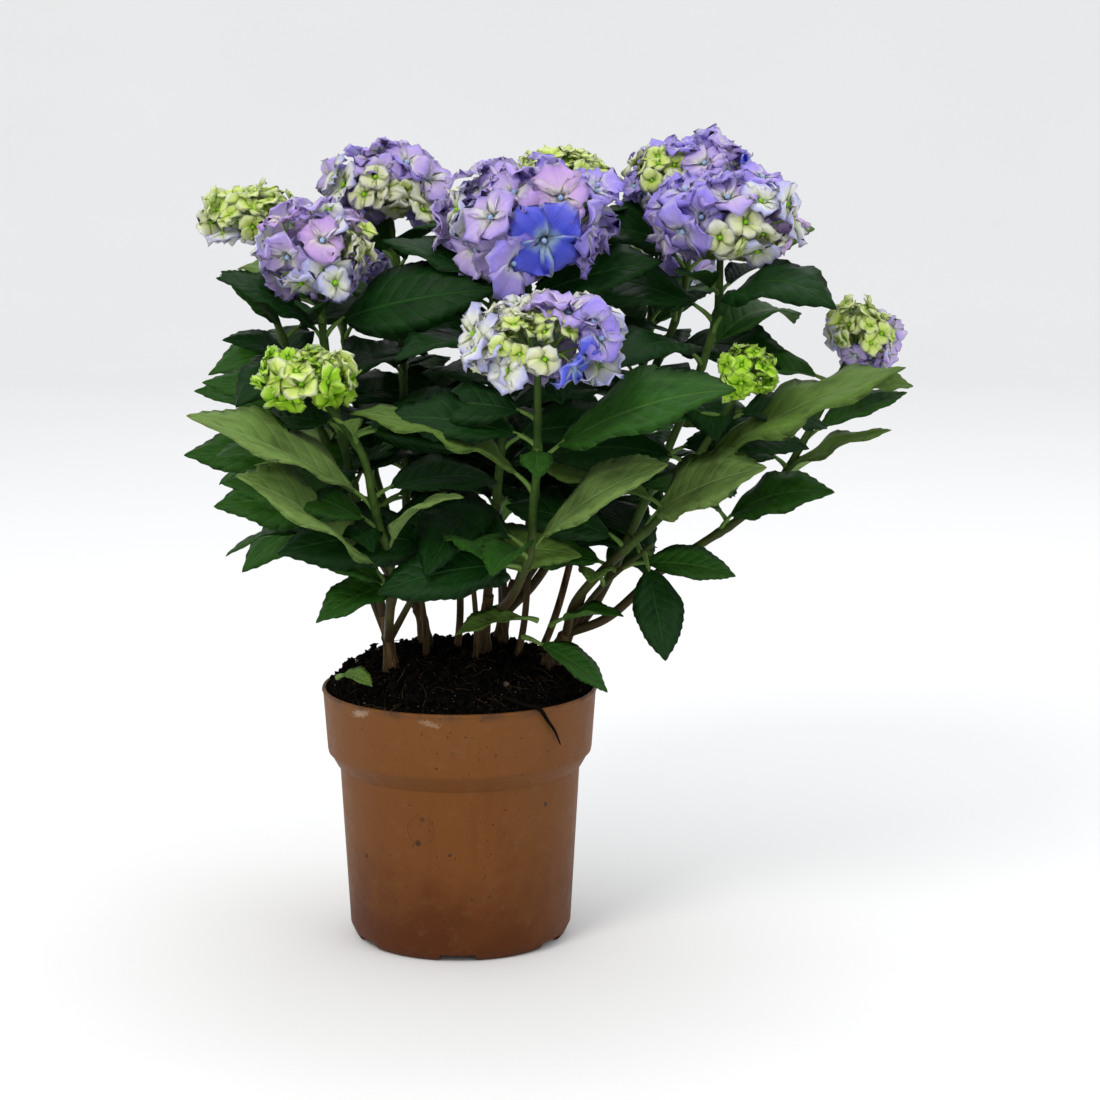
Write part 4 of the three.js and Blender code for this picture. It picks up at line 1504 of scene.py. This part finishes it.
def make_head(name, plan, shapes, materials, scale):
    """One head: flowers on stalks that run together in its middle."""
    low, high = box_of("head_" + name)
    centre = 0.5 * (low + high)
    half = 0.5 * (high - low) - 0.17 * plan.largest * MM
    draw = draw_for("head " + name)
    heap = Heap()
    hub = shoot_way(name).at(1.0)
    lean = math.radians(plan.lean)
    axes = basis([math.cos(lean), 0, -math.sin(lean)], [math.sin(lean), 0, math.cos(lean)])
    for flower in head_places(plan, half, draw):
        at = centre + (flower.place * draw.uniform(0.82, 1.06)) @ axes
        out = unit(flower.way / half) @ axes
        facing = unit(out + 0.36 * draw.standard_normal(3) + 0.12 * UP)
        size = flower.size * MM * scale
        make_flower(heap, shapes, at, facing, size, flower.colour, flower.growth, draw)
        foot = hub + 0.25 * (at - hub) * np.array([1, 1, 0.2])
        stalk = Way([hub, foot, at - facing * 0.22 * size, at], 16)
        heap.add_tube(shapes.stalk, stalk, lambda s: (0.85 - 0.4 * s) * MM, len(PETAL_NAMES))
        if draw.random() < INNER_SHARE:
            # A smaller flower fills the gap beside this one, deeper in the head.
            beside = centre + (flower.place * 0.78 + size * draw.uniform(-0.35, 0.35, 3)) @ axes
            turned = unit(facing + 0.4 * draw.standard_normal(3))
            colour = "violet" if flower.colour == "blue" else flower.colour
            make_flower(heap, shapes, beside, turned, 0.85 * size, colour, 0.7, draw)
    return heap.build("flowers_" + name, materials)


GREEN_HEADS = ("front_left", "front_right")  # still in bud


def make_heads(settings):
    """Each flower head as one piece."""
    shapes = SimpleNamespace(
        large=sheet_shape(5, 6),
        middle=sheet_shape(4, 4),
        small=sheet_shape(2, 2),
        bead=ball_shape(1),
        stalk=tube_shape(4, 5),
    )
    materials = petal_materials()
    for name, plan in HEADS.items():
        piece = make_head(name, plan, shapes, materials, settings.flower_scale)
        finish_piece(piece, "green_flower" if name in GREEN_HEADS else "flower", "head_" + name)


# ---------- the stage


def floor_material():
    """A plain pale floor, a little uneven in tone."""
    nodes = Nodes("pale_floor")
    tone = nodes.noise(nodes.place(), 3.0, 3.0)
    colour = nodes.ramp(tone, [(0.3, (0.875, 0.875, 0.87)), (0.7, (0.885, 0.885, 0.88))])
    return nodes.done(colour, 0.8, specular=0.2)


FLOOR_RADIUS = 2.6
LIT_PLACE = (0.04, 0.0, 0.22)  # where the lights point
# Each light's place, size, share of the key light's power and colour.
LIGHTS = {
    "key": ((-0.9, -1.5, 1.7), 0.9, 1.0, (1.0, 0.97, 0.93)),
    "fill": ((1.6, -1.2, 1.0), 1.6, 0.3, (0.90, 0.95, 1.0)),
    "top": ((0.3, 0.9, 2.0), 1.4, 0.5, (0.97, 0.98, 1.0)),
}
SKY = {"Color": (0.97, 0.98, 1.0, 1), "Strength": 0.86}
CAMERA_PLACE = (0.046, -1.464, 0.4574)
CAMERA_TILT = 80  # degrees up from straight down
CAMERA_LENS = 96.3


def make_light(name, place, size, power, colour):
    light = bpy.data.lights.new(name, "AREA")
    light.shape = "DISK"
    light.size = size
    light.energy = power
    light.color = colour
    lamp = object_for(light, name)
    lamp.location = place
    lamp.rotation_euler = (Vector(LIT_PLACE) - Vector(place)).to_track_quat("-Z", "Y").to_euler()


def make_backdrop():
    """A wall that rises from the floor in a wide curve. Only the camera sees it, so it shades nothing."""
    bend, top = 1.2, 4.0
    curve = round_corner(FLOOR_RADIUS, bend, bend, range(-90, 1, 6))
    bm = spun_shell([*curve, (FLOOR_RADIUS + bend, top)], 96)
    bmesh.ops.recalc_face_normals(bm, faces=bm.faces[:])
    bmesh.ops.reverse_faces(bm, faces=bm.faces[:])
    backdrop = object_of(bm, "backdrop")
    backdrop.data.shade_smooth()
    for ray in ("diffuse", "glossy", "transmission", "shadow"):
        setattr(backdrop, "visible_" + ray, False)
    return backdrop


def make_camera(scene):
    camera = bpy.data.cameras.new("camera")
    camera.lens = CAMERA_LENS
    camera.sensor_width = 36
    scene.camera = object_for(camera, "camera")
    scene.camera.location = CAMERA_PLACE
    scene.camera.rotation_euler = (math.radians(CAMERA_TILT), 0, 0)


def make_stage(settings):
    bm = bmesh.new()
    bmesh.ops.create_circle(bm, cap_ends=True, segments=96, radius=FLOOR_RADIUS)
    pale = floor_material()
    for one in (object_of(bm, "floor"), make_backdrop()):
        one.data.materials.append(pale)
    for name, (place, size, share, colour) in LIGHTS.items():
        make_light(name, place, size, share * settings.key_power, colour)
    scene = bpy.context.scene
    scene.world = bpy.data.worlds.new("studio")
    scene.world.use_nodes = True
    for socket, value in SKY.items():
        scene.world.node_tree.nodes["Background"].inputs[socket].default_value = value
    make_camera(scene)
    scene.view_settings.view_transform = "Standard"


# ---------- the add-on


def length_property(name, description, least, default):
    """A length in metres."""
    limits = {"min": least, "default": default}
    return bpy.props.FloatProperty(name=name, description=description, unit="LENGTH", **limits)


def scale_property(name, description):
    """A size beside the natural one."""
    limits = {"min": 0.2, "max": 2, "default": 1.0}
    return bpy.props.FloatProperty(name=name, description=description, subtype="FACTOR", **limits)


class PotSettings(bpy.types.PropertyGroup):
    colour: bpy.props.FloatVectorProperty(
        name="Plastic",
        description="Colour of the pot's plastic at half height",
        subtype="COLOR",
        size=3,
        min=0,
        max=1,
        default=(0.140, 0.049, 0.012),
    )
    height: length_property("Height", "From the floor to the rim", 0.05, POT_HEIGHT)
    rim_radius: length_property("Rim radius", "Outside, at the rim", 0.03, RIM_RADIUS)
    slot_width: length_property("Drain slot", "Width of each drain slot", 0.002, 0.018)


class PlantSettings(bpy.types.PropertyGroup):
    seed: bpy.props.IntProperty(name="Seed", description="Changes how the leaves turn", min=0, default=7)
    leaf_scale: scale_property("Leaf size", "Size of the leaves beside their natural size")
    flower_scale: scale_property("Flower size", "Size of the flowers beside their natural size")


class StageSettings(bpy.types.PropertyGroup):
    key_power: bpy.props.FloatProperty(
        name="Key light", description="Power of the key light", unit="POWER", min=0, default=21.0
    )


class HYDRANGEA_OT_stage(bpy.types.Operator):
    """Makes the floor, the lights and the camera"""

    bl_idname = "hydrangea.stage"
    bl_label = "Stage"

    def execute(self, context):
        make_stage(context.scene.hydrangea_stage)
        return {"FINISHED"}


class HYDRANGEA_OT_pot(bpy.types.Operator):
    """Makes the nursery pot"""

    bl_idname = "hydrangea.pot"
    bl_label = "Pot"

    def execute(self, context):
        make_pot(context.scene.hydrangea_pot)
        return {"FINISHED"}


class HYDRANGEA_OT_soil(bpy.types.Operator):
    """Makes the bed of peat with its crumbs and root strands"""

    bl_idname = "hydrangea.soil"
    bl_label = "Soil"

    def execute(self, context):
        make_soil()
        make_crumbs()
        return {"FINISHED"}


class HYDRANGEA_OT_canes(bpy.types.Operator):
    """Makes the woody canes"""

    bl_idname = "hydrangea.canes"
    bl_label = "Canes"

    def execute(self, context):
        make_canes()
        return {"FINISHED"}


class HYDRANGEA_OT_shoots(bpy.types.Operator):
    """Makes the green shoots that grow from the canes"""

    bl_idname = "hydrangea.shoots"
    bl_label = "Shoots"

    def execute(self, context):
        make_shoots(context.scene.hydrangea_plant.seed)
        return {"FINISHED"}


class HYDRANGEA_OT_leaves(bpy.types.Operator):
    """Makes the leaves of every shoot"""

    bl_idname = "hydrangea.leaves"
    bl_label = "Leaves"

    def execute(self, context):
        make_leaves(context.scene.hydrangea_plant)
        return {"FINISHED"}


class HYDRANGEA_OT_flowers(bpy.types.Operator):
    """Makes the flower heads"""

    bl_idname = "hydrangea.flowers"
    bl_label = "Flower heads"

    def execute(self, context):
        make_heads(context.scene.hydrangea_plant)
        return {"FINISHED"}


OPERATORS = [
    HYDRANGEA_OT_stage,
    HYDRANGEA_OT_pot,
    HYDRANGEA_OT_soil,
    HYDRANGEA_OT_canes,
    HYDRANGEA_OT_shoots,
    HYDRANGEA_OT_leaves,
    HYDRANGEA_OT_flowers,
]


class HYDRANGEA_PT_build(bpy.types.Panel):
    bl_label = "Potted hydrangea"
    bl_space_type = "VIEW_3D"
    bl_region_type = "UI"
    bl_category = "Hydrangea"

    def draw(self, context):
        for settings, names in (
            (context.scene.hydrangea_pot, ("colour", "height", "rim_radius", "slot_width")),
            (context.scene.hydrangea_plant, ("seed", "leaf_scale", "flower_scale")),
            (context.scene.hydrangea_stage, ("key_power",)),
        ):
            for name in names:
                self.layout.prop(settings, name)
        for operator in OPERATORS:
            self.layout.operator(operator.bl_idname)


CLASSES = [PotSettings, PlantSettings, StageSettings, *OPERATORS, HYDRANGEA_PT_build]


SETTINGS = {"pot": PotSettings, "plant": PlantSettings, "stage": StageSettings}


def register():
    for one in CLASSES:
        bpy.utils.register_class(one)
    for name, kind in SETTINGS.items():
        setattr(bpy.types.Scene, "hydrangea_" + name, bpy.props.PointerProperty(type=kind))


def unregister():
    for name in SETTINGS:
        delattr(bpy.types.Scene, "hydrangea_" + name)
    for one in reversed(CLASSES):
        bpy.utils.unregister_class(one)


def main():
    register()
    bpy.ops.hydrangea.stage()
    bpy.ops.hydrangea.pot()
    bpy.ops.hydrangea.soil()
    bpy.ops.hydrangea.canes()
    bpy.ops.hydrangea.shoots()
    bpy.ops.hydrangea.leaves()
    bpy.ops.hydrangea.flowers()


if __name__ == "__main__":
    main()
